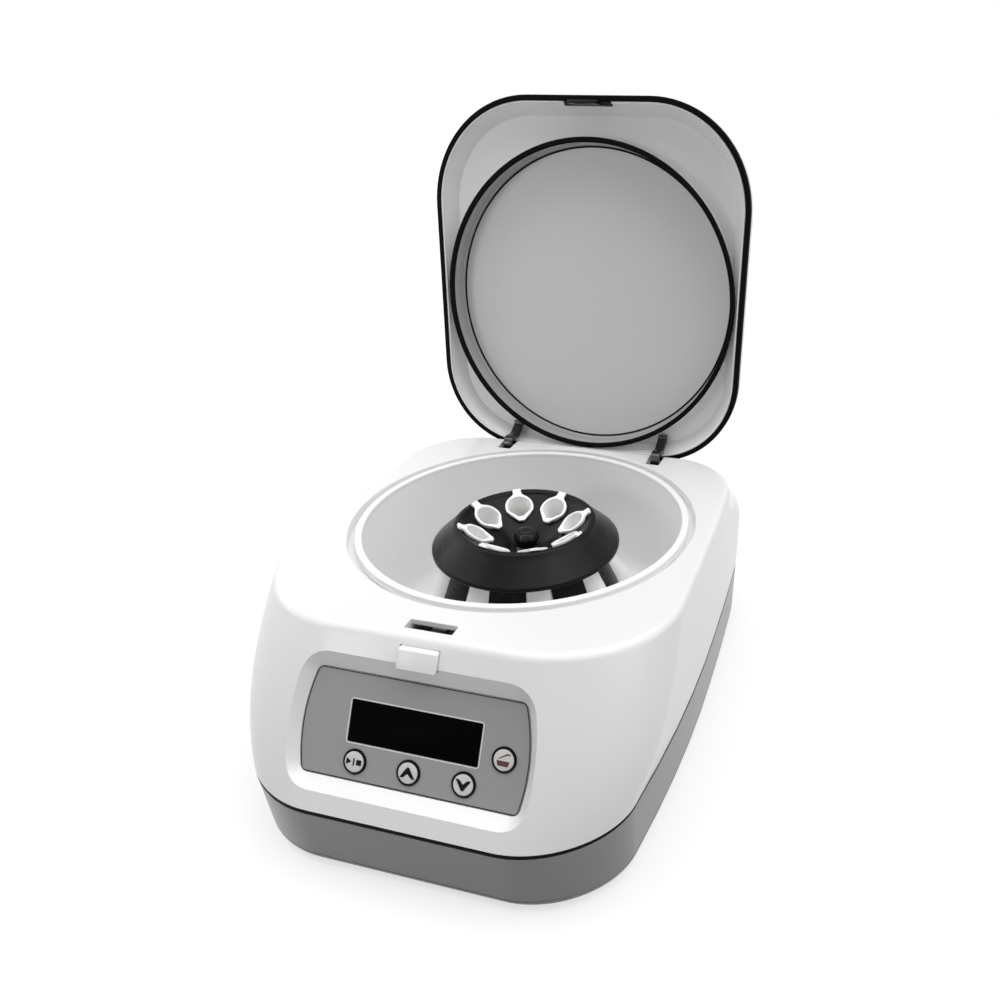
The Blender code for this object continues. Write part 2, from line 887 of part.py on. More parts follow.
def board_stands():
    for x in (-1, 1):
        place = (x * (main_board_half_x - boss_radius), main_board_y, 0)
        yield temporary(rod(boss_radius, floor_thickness / 2, main_board_z - gap, "Z", place, small_steps // 2))


def foot_places():
    return {
        "foot_front_left": (-foot_x, foot_front_y, 0),
        "foot_front_right": (foot_x, foot_front_y, 0),
        "foot_back_left": (-foot_x, foot_back_y, 0),
        "foot_back_right": (foot_x, foot_back_y, 0),
    }


def feet():
    for name, place in foot_places().items():
        edge = foot_radius - foot_seat
        profile = [(0, -foot_height), (edge - foot_seat, -foot_height), (edge, -foot_height + foot_seat),
                   (foot_radius, -gap), (foot_radius, foot_seat - gap), (0, foot_seat - gap)]
        piece(name, temporary(moved(turned(profile, sleeve_steps), place)), "rubber")


def arc(centre, radius, start, end, steps):
    """Points on an arc in (radius, height), with angles in degrees."""
    points = []
    for k in range(steps + 1):
        angle = math.radians(mix(start, end, k / steps))
        points.append((centre[0] + radius * math.cos(angle), centre[1] + radius * math.sin(angle)))
    return points


def chamber_bowl():
    """A drawn bowl with a rim to hang by and a raised middle that clears the motor."""
    r = chamber_radius
    corner = (r - bowl_corner, bowl_floor + bowl_corner)
    inside = [(r, deck_height - bowl_wall / 2)]
    inside += arc(corner, bowl_corner, 0, -90, 3)
    inside += arc((dome_radius + dome_corner, bowl_floor + dome_corner), dome_corner, 270, 180, 1)
    inside += arc((dome_radius - dome_corner, dome_top - dome_corner), dome_corner, 0, 90, 1)
    inside.append((dome_hole, dome_top))
    t = bowl_wall
    outside = [(dome_hole, dome_top - t)]
    outside += arc((dome_radius - dome_corner, dome_top - dome_corner), dome_corner - t, 90, 0, 1)
    outside += [(dome_radius - t, bowl_floor - t), (r - bowl_corner, bowl_floor - t)]
    outside += arc(corner, bowl_corner + t, -90, 0, 2)[1:]
    outside += [(r + t, bowl_seat), (rim_radius, bowl_seat)]
    outside += [(rim_radius, deck_height - t / 2), (rim_radius - t / 2, deck_height), (r + t / 2, deck_height)]
    return piece("chamber_bowl", temporary(turned(inside + outside)), "bowl_grey")


def shaft_seal():
    """A rubber boot on the hole in the bowl's raised middle."""
    low = dome_top + gap
    neck = dome_hole - gap
    bore = shaft_radius + 3 * gap
    profile = [(bore, low), (neck, low), (neck, low - bowl_wall - 2 * gap), (neck + gap / 2, low),
               (seal_radius, low), (seal_radius, low + seal_height / 3), (bore + bowl_wall, low + seal_height),
               (bore, low + seal_height)]
    return piece("shaft_seal", temporary(turned([profile[0], *profile[4:]], small_steps)), "rubber")


def motor_parts():
    """The motor on its plate, and the plate on four rubber isolators."""
    plate_low = motor_bottom - gap - plate_thickness
    plan = rounded_plan(plate_half, plate_half, plate_corner)
    piece("motor_plate", temporary(raised(plan, plate_low, plate_low + plate_thickness)), "steel")
    r = motor_radius
    c = motor_chamfer
    boss_top = motor_top + motor_boss_height
    bore = shaft_radius + gap
    well = motor_top - motor_boss_height
    can = [(0, motor_bottom), (r - c, motor_bottom), (r, motor_bottom + c), (r, motor_top - c), (r - c, motor_top),
           (motor_boss_radius, motor_top), (motor_boss_radius, boss_top), (bore, boss_top), (bore, well), (0, well)]
    piece("motor", temporary(turned(can, small_steps)), "dark_steel")
    low = floor_thickness + gap
    high = plate_low - gap
    for number, (sx, sy) in enumerate(((-1, -1), (1, -1), (1, 1), (-1, 1)), 1):
        middle = mix(low, high, 1 / 2)
        third = (high - low) / 4
        profile = [(0, low), (isolator_radius, low), (isolator_radius, low + third), (isolator_waist, middle),
                   (isolator_radius, high - third), (isolator_radius, high), (0, high)]
        shape = moved(turned(profile, small_steps // 2), (sx * isolator_spread, sy * isolator_spread, 0))
        piece(f"motor_isolator_{number}", temporary(shape), "rubber")


def mouth_plane(radius, below=0.0):
    """The height, at a radius, of the cone that the sleeve mouths lie on, or of one below it."""
    drop = mouth_drop + below / math.cos(tube_angle)
    return deck_height - drop + (radius - mouth_radius) * math.tan(tube_angle)


def tube_frame(number):
    """Where a sleeve stands: its Z runs up the tube, its Y runs outwards along the mouth."""
    spin = Matrix.Rotation(tube_phase + math.tau * number / tube_count - math.radians(90), 4, "Z")
    tip = Matrix.Rotation(tube_angle, 4, "X")
    return spin @ Matrix.Translation((0, mouth_radius, deck_height - mouth_drop)) @ tip


def rotor_body():
    """The turned rotor: lip, skirt, cone below it and hub, bored for the eight sleeves."""
    relief = (math.hypot(mouth_radius, flange_radius) - mouth_radius) * math.sin(tube_angle)
    seat = flange_thickness + gap + relief
    top = deck_height
    bore = shaft_radius + gap
    profile = [
        (bore, top - hub_boss_drop),
        (hub_boss_radius, top - hub_boss_drop),
        (hub_recess_radius, mouth_plane(hub_recess_radius, seat)),
        (lip_inner, mouth_plane(lip_inner, seat)),
        (lip_inner, top - lip_drop - lip_round * 2 / 3),
        (lip_inner + lip_round, top - lip_drop),
        (lip_outer - lip_round, top - lip_drop),
        (lip_outer, top - lip_drop - lip_round),
        (skirt_radius, top - skirt_drop + skirt_edge),
        (skirt_radius, top - skirt_drop),
        (skirt_radius - skirt_edge, top - skirt_drop),
        (cone_top_radius, top - cone_top_drop),
        (cone_bottom_radius, top - cone_bottom_drop),
        (rotor_pocket_radius, top - cone_bottom_drop - lip_round),
        (hub_pocket_radius, top - rotor_pocket_drop),
        (hub_bottom_radius, top - rotor_pocket_drop),
        (hub_bottom_radius, top - hub_bottom_drop),
        (bore, top - hub_bottom_drop),
    ]
    body = temporary(turned(profile))
    for number in range(tube_count):
        bore_rod = rod(sleeve_radius + gap, -sleeve_length - overrun, overrun, "Z", (0, 0, 0), sleeve_steps)
        cut(body, temporary(bore_rod, tube_frame(number)))
    return piece("rotor_body", body, "rotor_black")


def mouth_plan():
    """The lemon outline of a sleeve's mouth, with a lifting tab at its outer end."""
    start = math.asin(tab_half_width / flange_radius) + math.radians(12)
    end = math.radians(112)
    right = [(tab_half_width, tab_reach), (tab_half_width, flange_radius + gap * 2)]
    for k in range(4):
        angle = mix(start, end, k / 3)
        right.append((flange_radius * math.sin(angle), flange_radius * math.cos(angle)))
    right.append((tip_half_width, -tip_reach))
    return right + [(-x, y) for x, y in reversed(right)]


def sleeve_shape():
    """A round-ended tube hanging from its lemon-shaped flange."""
    r = sleeve_radius
    phase = math.pi / sleeve_steps
    outer = arc((0, -sleeve_length + r), r, 270, 360, 2)
    outer[0] = (0, -sleeve_length)
    outer.append((r, -flange_thickness / 2))
    outer.append((0, -flange_thickness / 2))
    inner = arc((0, -sleeve_length + r), sleeve_bore, 270, 360, 2)
    inner[0] = (0, inner[0][1])
    inner += [(sleeve_bore, overrun), (0, overrun)]
    tube = temporary(turned(outer, sleeve_steps, phase))
    join(tube, temporary(raised(mouth_plan(), -flange_thickness, 0)))
    return cut(tube, temporary(turned(inner, sleeve_steps, phase)))


def tube_sleeves(parent):
    first = sleeve_shape()
    for number in range(tube_count):
        item = first if number == 0 else bpy.data.objects.new("shape", first.data.copy())
        if number:
            bpy.context.scene.collection.objects.link(item)
        piece(f"tube_sleeve_{number + 1}", item, "sleeve_plastic", parent)
        item.matrix_local = tube_frame(number)


def rotor_parts():
    """Everything that spins, carried by an empty on the rotor's axis."""
    spin = axis_empty("rotor_axis", Matrix.Identity(4))
    rotor_body().parent = spin
    tube_sleeves(spin)
    low = motor_top - motor_boss_height + gap
    shaft = [(0, low), (shaft_radius, low), (shaft_radius, shaft_top - gap * 2),
             (shaft_radius - gap * 2, shaft_top), (0, shaft_top)]
    piece("motor_shaft", temporary(turned(shaft, small_steps)), "steel", spin)
    seat = deck_height - hub_boss_drop + gap
    crown = seat + nut_height
    bore = shaft_radius + gap
    cap = shaft_top + gap
    nut = [(bore, seat), (nut_radius, seat), (nut_radius, seat + nut_top_gap), (nut_waist, seat + 2 * nut_top_gap),
           (nut_radius, crown), (nut_waist, crown + nut_top_gap * 2), (0, crown + nut_top_gap * 2), (0, cap),
           (bore, cap)]
    shape = temporary(turned_cap(nut))
    piece("rotor_nut", shape, "dark_steel", spin)


def turned_cap(profile):
    """A turned cup whose profile touches the axis at two points in its middle."""
    bm = bmesh.new()
    steps = small_steps
    rows = []
    for radius, height in profile:
        count = 1 if radius == 0 else steps
        row = []
        for i in range(count):
            angle = math.tau * i / steps
            row.append(bm.verts.new((radius * math.cos(angle), radius * math.sin(angle), height)))
        rows.append(row)
    for k, one in enumerate(rows):
        two = rows[(k + 1) % len(rows)]
        if len(one) == 1 and len(two) == 1:
            continue
        for i in range(steps):
            j = (i + 1) % steps
            corners = [one[i % len(one)], one[j % len(one)], two[j % len(two)], two[i % len(two)]]
            bm.faces.new(list(dict.fromkeys(corners)))
    return bm


def lid_ring_points(inset, z):
    """The lid's outline, shut, drawn in by an inset."""
    half = lid_half_width - inset
    length = (lid_front + lid_back) / 2 - inset
    middle = (lid_back - lid_front) / 2
    front = rounded_plan(half, length, max(lid_front_corner - inset, half / 3), corner_steps)
    back = rounded_plan(half, length, max(lid_back_corner - inset, half / 3), corner_steps)
    plan = [one if one[1] < 0 else two for one, two in zip(front, back)]
    return [(x, y + middle, z) for x, y in plan]


def about_hinge(item):
    """Moves a lid piece's origin to the hinge, so that it turns there."""
    item.data.transform(Matrix.Translation((0, -hinge_y, -hinge_z)))
    return item


def lid_cover():
    low = trim_top + gap
    outer = [lid_ring_points(inset, low + rise) for inset, rise in zip(cover_insets, cover_rises)]
    inner = [lid_ring_points(cover_wall, low)]
    for inset, rise in zip(cover_insets[1:], cover_rises[1:]):
        inner.append(lid_ring_points(inset + cover_wall, low + rise - cover_wall))
    return temporary(loft(list(reversed(inner)) + outer))


def lid_edge_trim():
    soft = 2 * gap
    rings = [lid_ring_points(trim_width, edge_z), lid_ring_points(soft, edge_z), lid_ring_points(0, edge_z + soft),
             lid_ring_points(0, trim_top), lid_ring_points(trim_width, trim_top)]
    return temporary(looped(rings))


def lid_liner():
    """The grey tray under the lid, with the ring wall that closes on the bowl's rim."""
    start = trim_width + gap
    rim = edge_z + gap
    top = tray_floor + tray_skin
    side = start + tray_rim_width
    turn = edge_z + ring_gasket_height + 2 * gap
    rings = [lid_ring_points(side + tray_border, tray_floor), lid_ring_points(side, turn), lid_ring_points(side, rim),
             lid_ring_points(start, rim), lid_ring_points(start, trim_top),
             lid_ring_points(side, trim_top + tray_skin), lid_ring_points(side + tray_border / 2, top - tray_skin),
             lid_ring_points(side + tray_border, top)]
    shell = temporary(loft(rings))
    ring_low = edge_z + ring_gasket_height + gap
    boss_top = disc_floor + tray_skin
    inner = ring_outer - ring_wall
    ring = [(0, ring_low), (ring_outer, ring_low), (ring_outer, disc_floor), (ring_outer - tray_skin, boss_top),
            (0, boss_top)]
    join(shell, temporary(turned(ring)))
    cut(shell, temporary(rod(inner, ring_low - overrun, disc_floor, "Z", (0, 0, 0), turn_steps)))
    return shell


def lid_ring_gasket():
    low = deck_height + gap
    high = edge_z + ring_gasket_height
    inner = ring_outer - ring_wall - ring_gasket_lip
    outer = ring_outer + ring_gasket_lip
    soft = ring_gasket_lip
    profile = [(inner + soft, low), (outer - soft, low), (outer, high), (inner, high)]
    return temporary(turned(profile))


def lid_striker():
    """The bracket at the lid's free edge: a foot in the tray and a tongue with an eye."""
    y = -striker_y
    half = striker_thickness / 2
    foot_z = edge_z + gap
    foot = block((-striker_half_width, y - half, foot_z), (striker_half_width, y + half, foot_z + trim_height))
    tip = deck_height - tongue_reach
    plan = [(-tongue_half_width, tip + half), (-tongue_half_width + half, tip), (tongue_half_width - half, tip),
            (tongue_half_width, tip + half), (tongue_half_width, foot_z + half), (-tongue_half_width, foot_z + half)]
    slim = half * wall_inset_share
    tongue = loft([[(x, depth, z) for x, z in plan] for depth in (y + slim, y - slim)])
    eye_low = slide_bottom - (tongue_eye_height - slide_thickness) / 2
    eye = block((-tongue_eye_half_width, y - overrun, eye_low),
                (tongue_eye_half_width, y + overrun, eye_low + tongue_eye_height))
    return cut(join(temporary(foot), temporary(tongue)), temporary(eye))


def striker_room():
    """What is cut out of the liner so that the striker's foot lies in it."""
    half = striker_thickness / 2 + gap
    width = striker_half_width + gap
    return temporary(block((-width, -lid_front, edge_z - overrun),
                           (width, -striker_y + half, edge_z + trim_height + 2 * gap)))


def arm_path():
    """The gooseneck's middle line, shut, as (y, z) from the pin to its foot in the tray."""
    return [(deck_back - reach, deck_height - drop) for reach, drop in zip(arm_line_reaches, arm_line_drops)]


def hinge_arm(side):
    """A flat gooseneck: thick along its path, with an eye for the pin."""
    path = [Vector(point) for point in arm_path()]
    left = []
    right = []
    for k, point in enumerate(path):
        before = path[max(k - 1, 0)]
        after = path[min(k + 1, len(path) - 1)]
        along = (after - before).normalized()
        across = Vector((-along.y, along.x)) * arm_half_thickness
        left.append(point + across)
        right.append(point - across)
    x = side * hinge_spread
    strip = side_prism(left + list(reversed(right)), x - arm_half_width, x + arm_half_width)
    eye = rod(eye_radius, -arm_half_width, arm_half_width, "X", (x, hinge_y, hinge_z))
    bore = rod(pin_radius + gap, -arm_half_width - overrun, arm_half_width + overrun, "X", (x, hinge_y, hinge_z))
    return cut(join(temporary(strip), temporary(eye)), temporary(bore))


def lid_parts():
    """The lid, modelled shut and turned open about the hinge by the empty that carries it."""
    place = Matrix.Translation((0, hinge_y, hinge_z)) @ Matrix.Rotation(-lid_open_angle, 4, "X")
    hinge = axis_empty("lid_hinge_axis", place)
    piece("lid_cover", about_hinge(lid_cover()), "white_abs", hinge)
    piece("lid_liner", about_hinge(cut(lid_liner(), striker_room())), "lid_grey", hinge)
    piece("lid_edge_trim", about_hinge(lid_edge_trim()), "rubber", hinge)
    piece("lid_ring_gasket", about_hinge(lid_ring_gasket()), "rubber", hinge)
    piece("lid_striker", about_hinge(lid_striker()), "dark_steel", hinge)
    piece("hinge_arm_left", about_hinge(hinge_arm(-1)), "dark_steel", hinge)
    piece("hinge_arm_right", about_hinge(hinge_arm(1)), "dark_steel", hinge)


def hinge_pins():
    for name, side in (("hinge_pin_left", -1), ("hinge_pin_right", 1)):
        place = (side * hinge_spread, hinge_y, hinge_z)
        shape = rod(pin_radius, -pin_half_length, pin_half_length, "X", place)
        piece(name, temporary(shape), "steel")


def release_button(parent):
    """The raised block on the front, with the stem that pushes the latch."""
    low, high = button_heights()
    back = recess_depth - button_sunk
    front = recess_depth + button_proud
    bm = slope_prism(button_half_width, low, high, back, front)
    limit = slope_point(mix(low, high, 1 / 2), mix(back, front, 1 / 2))[0]
    bm.normal_update()
    forward = [edge for edge in bm.edges if all(face_leans_out(face) for face in edge.link_faces[:1])]
    outer = [edge for edge in forward if sum(vert.co.y for vert in edge.verts) / 2 < limit]
    bmesh.ops.bevel(bm, geom=outer, offset=button_edge, segments=2, profile=0.5, affect="EDGES")
    stem_front = slope_point(slide_bottom, back + button_sunk / 2)[0]
    stem_back = -seat_back() - gap - button_travel
    stem = block((-button_stem_half_width, stem_front, slide_bottom),
                 (button_stem_half_width, stem_back, slide_top))
    item = piece("release_button", join(temporary(bm), temporary(stem)), "white_abs", parent)
    return item


def face_leans_out(face):
    return face.normal.length > 0


def seat_back():
    """How far forward the inner side of the button's thick seat lies."""
    back = recess_depth - button_sunk - button_travel - gap - wall
    return -slope_point(slide_top, back)[0]


def latch_slide(parent):
    """A sliding frame round the striker's tongue, with a nose that can enter its eye."""
    front = striker_y + striker_thickness / 2 + slide_rail
    tip = striker_y - striker_thickness / 2 - nose_clearance
    plate = block((-slide_half_width, -front, slide_bottom), (slide_half_width, -slide_back, slide_top))
    window = block((-slide_half_width + slide_rail, -front + slide_rail - gap, slide_bottom - overrun),
                   (slide_half_width - slide_rail, -slide_back - slide_rail, slide_top + overrun))
    nose = block((-nose_half_width, -tip, slide_bottom + gap),
                 (nose_half_width, -slide_back - slide_rail / 2, slide_top - gap))
    shape = join(cut(temporary(plate), temporary(window)), temporary(nose))
    return piece("latch_slide", shape, "steel", parent)


def latch_parts():
    """The button, and the bolt that the solenoid moves in its guide, each on its line of travel."""
    release_button(axis_empty("button_line", Matrix.Identity(4)))
    latch_slide(axis_empty("bolt_line", Matrix.Identity(4)))
    front = seat_back() - 2 * gap
    inner = slide_half_width + gap
    outer = inner + guide_wall
    low = deck_height - guide_depth
    high = deck_height - wall - gap
    channel = block((-outer, -front, low), (outer, -guide_back, high))
    hollow = block((-inner, -front - overrun, slide_bottom - gap), (inner, -guide_back + overrun, high + overrun))
    drop = block((-inner, -slot_front, low - overrun), (inner, -slide_back - slide_rail, high + overrun))
    piece("latch_frame", cut(temporary(channel), temporary(hollow), temporary(drop)), "black_plastic")
    coil = rod(solenoid_radius, outer + gap, outer + gap + solenoid_length, "X",
               (0, -mix(front, guide_back, 1 / 2), deck_height - solenoid_drop))
    piece("lock_solenoid", temporary(coil), "dark_steel")


def panel_parts():
    """The film, display and keys, built in the panel's leaning plane."""
    plane = axis_empty("panel_plane", panel_frame())
    film = temporary(raised(panel_plan(), -panel_thickness, 0))
    holes = [block((-display_half_width - gap, display_low - gap, -overrun),
                   (display_half_width + gap, display_high + gap, overrun))]
    holes += [rod(key_radius + gap, -overrun, overrun, "Z", (x, y, 0), sleeve_steps) for x, y in key_places()]
    piece("control_panel", cut(film, *[temporary(hole) for hole in holes]), "panel_film", plane)
    back = -panel_thickness - recess_floor
    window = raised([(-display_half_width, display_low), (display_half_width, display_low),
                     (display_half_width, display_high), (-display_half_width, display_high)],
                    -panel_thickness, display_proud)
    inset = panel_thickness + gap
    body = block((-display_half_width + inset, display_low + inset, back - board_post_height + gap),
                 (display_half_width - inset, display_high - inset, -panel_thickness / 2))
    piece("display_window", join(temporary(window), temporary(body)), "display_glass", plane)
    for name, (x, y) in zip(("key_start", "key_up", "key_down", "key_lid"), key_places()):
        key_cap(name, x, y, plane)
    low = back - board_post_height - gap * 2 - board_thickness
    half = panel_top_half - gap
    plan = [(-half, -panel_bottom), (half, -panel_bottom), (half, panel_top), (-half, panel_top)]
    piece("display_board", temporary(raised(plan, low, low + board_thickness)), "board", plane)


def key_cap(name, x, y, plane):
    """A round key with a low dome, standing on a stem that reaches the board's switch."""
    r = key_radius
    seat = -panel_thickness + key_travel / 2
    tip = -panel_thickness - recess_floor - board_post_height + key_travel + gap
    profile = [(0, tip), (key_stem_radius, tip), (key_stem_radius, seat), (r, seat),
               (r, key_proud - key_dome), (r - key_dome, key_proud), (0, key_proud + key_dome)]
    item = piece(name, temporary(turned(profile, sleeve_steps)), "key_grey", plane)
    item.matrix_local = Matrix.Translation((x, y, 0))


def inside_parts():
    """The boards and the supply that stand on the base."""
    low = main_board_z
    board = block((-main_board_half_x, main_board_y - main_board_half_y, low),
                  (main_board_half_x, main_board_y + main_board_half_y, low + board_thickness))
    piece("circuit_board", temporary(board), "board")
    plan = rounded_plan(supply_half_x, supply_half_y, motor_chamfer)
    shape = moved(raised(plan, floor_thickness + gap, floor_thickness + gap + supply_height, motor_chamfer),
                  (supply_x, supply_y, 0))
    piece("power_supply", temporary(shape), "dark_steel")


def back_wall(z):
    """How far back the base reaches at a height, on the middle line."""
    return max(y for _, y, _ in body_ring(z))


def power_inlet():
    """A socket for a mains lead: flange, body, well and three blades."""
    face = back_wall(inlet_z + inlet_half_height + inlet_flange) + gap
    flange = block((inlet_x - inlet_half_width - inlet_flange, face, inlet_z - inlet_half_height - inlet_flange),
                   (inlet_x + inlet_half_width + inlet_flange, face + inlet_flange_thickness,
                    inlet_z + inlet_half_height + inlet_flange))
    body = block((inlet_x - inlet_half_width, face - inlet_depth, inlet_z - inlet_half_height),
                 (inlet_x + inlet_half_width, face + inlet_flange_thickness / 2, inlet_z + inlet_half_height))
    mouth = face + inlet_flange_thickness
    well = block((inlet_x - socket_half_width, mouth - socket_depth, inlet_z - socket_half_height),
                 (inlet_x + socket_half_width, mouth + overrun, inlet_z + socket_half_height))
    shape = cut(join(temporary(flange), temporary(body)), temporary(well))
    for dx, dz in ((-1, -1), (0, 1), (1, -1)):
        x = inlet_x + dx * blade_spread
        z = inlet_z + dz * blade_rise
        join(shape, temporary(block((x - blade_half_width, mouth - socket_depth - gap, z - blade_half_height),
                                    (x + blade_half_width, mouth - socket_depth + blade_length,
                                     z + blade_half_height))))
    return piece("power_inlet", shape, "black_plastic")


def power_switch():
    """A framed rocker; the rocker turns on an axis across the frame."""
    face = back_wall(inlet_z + switch_half_height + switch_frame) + gap
    rim = switch_frame
    flange = block((switch_x - switch_half_width - rim, face, inlet_z - switch_half_height - rim),
                   (switch_x + switch_half_width + rim, face + rim, inlet_z + switch_half_height + rim))
    body = block((switch_x - switch_half_width, face - switch_depth, inlet_z - switch_half_height),
                 (switch_x + switch_half_width, face + rim / 2, inlet_z + switch_half_height))
    inner_x = switch_half_width - rim
    inner_z = switch_half_height - rim / 2
    well = block((switch_x - inner_x, face - rocker_radius, inlet_z - inner_z),
                 (switch_x + inner_x, face + overrun, inlet_z + inner_z))
    frame = cut(join(temporary(flange), temporary(body)), temporary(well))
    piece("switch_frame", frame, "black_plastic")
    centre = face - rocker_radius / 2
    pivot = axis_empty("switch_axis", Matrix.Translation((switch_x, centre, inlet_z)))
    half = inner_x - gap
    reach = inner_z - gap * 4
    tail = reach / 3
    nose = reach * 5 / 6
    front = rocker_radius / 2 + rim / 2
    rise = nose * math.tan(rocker_lean) / 2
    outline = [(-tail, -tail), (-tail, tail), (0, reach), (front - rise, nose), (front, 0), (front + rise, -nose),
               (0, -reach)]
    rocker = side_prism(outline, -half, half)
    piece("power_switch", temporary(rocker), "black_plastic", pivot)


def fuse_holder():
    face = back_wall(inlet_z + fuse_radius) + gap
    r = fuse_radius
    rim = r + gap * 3
    tip = face + fuse_proud
    cap = [(0, face - fuse_depth), (r, face - fuse_depth), (r, face), (rim, face), (rim, tip - gap * 3),
           (rim - gap * 3, tip), (0, tip)]
    shape = moved(turn_to(turned(cap, small_steps), "Y"), (fuse_x, 0, inlet_z))
    return piece("fuse_holder", temporary(shape), "black_plastic")


def build():
    clear_scene()
    upper_housing()
    seam_gasket()
    base_tray()
    feet()
    chamber_bowl()
    shaft_seal()
    motor_parts()
    rotor_parts()
    lid_parts()
    hinge_pins()
    latch_parts()
    panel_parts()
    inside_parts()
    power_inlet()
    power_switch()
    fuse_holder()
    bpy.context.view_layer.update()


build()
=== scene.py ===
"""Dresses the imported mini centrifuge: fine visible pieces, their finishes, a plain studio and the camera."""
import math

import bmesh
import bpy
from bpy.props import FloatProperty, FloatVectorProperty, IntProperty, PointerProperty
from bpy.types import Operator, Panel, PropertyGroup
from mathutils import Matrix, Vector


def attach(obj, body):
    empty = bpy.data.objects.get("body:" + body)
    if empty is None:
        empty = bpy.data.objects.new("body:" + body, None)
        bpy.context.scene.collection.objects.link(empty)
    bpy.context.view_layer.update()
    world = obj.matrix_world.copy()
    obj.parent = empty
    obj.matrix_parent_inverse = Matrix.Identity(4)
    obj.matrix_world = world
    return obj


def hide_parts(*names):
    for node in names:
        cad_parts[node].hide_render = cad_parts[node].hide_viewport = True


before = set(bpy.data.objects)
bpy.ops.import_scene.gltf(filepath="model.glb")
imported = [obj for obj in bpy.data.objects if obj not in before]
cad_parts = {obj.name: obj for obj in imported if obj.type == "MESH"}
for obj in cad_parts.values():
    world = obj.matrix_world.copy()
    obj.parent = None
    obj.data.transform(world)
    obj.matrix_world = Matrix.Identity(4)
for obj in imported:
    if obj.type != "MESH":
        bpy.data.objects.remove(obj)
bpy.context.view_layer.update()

bl_info = {
    "name": "Mini centrifuge",
    "version": (1, 0, 0),
    "blender": (4, 5, 0),
    "location": "View3D > Sidebar > Centrifuge",
    "description": "Builds the visible pieces of a mini centrifuge over its packed solids",
    "category": "Add Mesh",
}

# Clearances and walls shared by all pieces, in metres
gap = 0.0003
overrun = 0.004
wall = 0.003
bowl_wall = 0.002
rim_seat = 0.0057
seal_lip = 0.0009
seam_gap = 0.0018
deck_fillet = 0.003
base_fillet = 0.003

# Corner radii of the body at the deck, the joint and the underside: across and along the front, then the back
deck_corners = (0.074, 0.069, 0.044)
joint_corners = (0.061, 0.049, 0.055)
under_corners = (0.058, 0.047, 0.055)

# How far the body draws in towards its front and back, and how far its walls swell between deck and joint
joint_narrowing = 0.019
under_narrowing = 0.0175
back_narrowing = 0.0055
front_swell = 0.001
side_swell = 0.0012

# Lid well behind the deck: drops below the deck, and how far back the body reaches there
well_drops = (0.016, 0.019, 0.023, 0.029, 0.038, 0.051)
well_reaches = (0.001, 0.0075, 0.0235, 0.0365, 0.0465, 0.0525)

# Hinge, striker, its slot and the release button
arm_x = 0.0575
arm_line_ys = (0.1112, 0.1082, 0.1050, 0.1030, 0.1023, 0.1023, 0.0970, 0.0955, 0.0930)
arm_line_drops = (0.0110, 0.0124, 0.0124, 0.0112, 0.0085, 0.0002, -0.0080, -0.0094, -0.0096)
arm_half_width = 0.0033
notch_half_width = 0.005
notch_front = 0.099
notch_depth = 0.0155
knuckle_width = 0.007
knuckle_front = 0.104
knuckle_depth = 0.0145
striker_y = -0.1252
striker_half_width = 0.016
striker_half_depth = 0.0012
slot_half_width = 0.0135
slot_front = 0.1302
slot_back = 0.1226
button_half_width = 0.011
button_top_drop = 0.0045
button_height = 0.0092
button_proud = 0.0029
button_sunk = 0.0015

# Leaning panel plane and its recess
panel_lean = math.atan2(0.0513, 0.085)
panel_y = -0.1656
panel_z = 0.066
panel_top = 0.0426
panel_bottom = 0.0139
panel_top_half = 0.0584
panel_bottom_half = 0.0611
panel_bow = 0.0042
panel_thickness = 0.0012
recess_depth = 0.006
recess_side = 0.005
recess_top = 0.0085
recess_bottom = 0.0068
recess_corner = 0.014
display_half_width = 0.0366
display_low = 0.0064
display_high = 0.0280
key_row_height = -0.0037
key_pitch = 0.0308
lid_key_x = 0.0504
lid_key_height = 0.0126
key_radius = 0.0054
key_hole = 0.0068
key_bottom = -0.0007

# Back of the base: places of its fittings, and half the width and height of their bodies
inlet_x = -0.034
inlet_z = 0.021
inlet_half = (0.0135, 0.010)
switch_x = 0.012
switch_half = (0.0075, 0.0105)
fuse_x = -0.008

# Rotor dish, lid and finishes
dish_drop = 0.024
lid_gap = 0.0004
cover_wall = 0.0025
# The disc's colour as a share of the tray's: the tray is painted lighter than the disc, though both are the
# lid's grey plastic, to offset the shade on its sloped border
disc_share_of_painted_tray = 0.83
cloud_share = 0.94

# Steps of corners, sides and turned shapes
corner_steps = 22
side_steps = 8
turn_steps = 144


# ---------------------------------------------------------------- sizes and colours a user would change


def length(name, description, default):
    """A length in metres, shown in the file's own unit."""
    return FloatProperty(name=name, description=description, default=default, min=0.0, precision=4,
                         subtype="DISTANCE", unit="LENGTH")


def colour(name, description, default):
    return FloatVectorProperty(name=name, description=description, default=default, min=0.0, max=1.0, size=3,
                               subtype="COLOR")


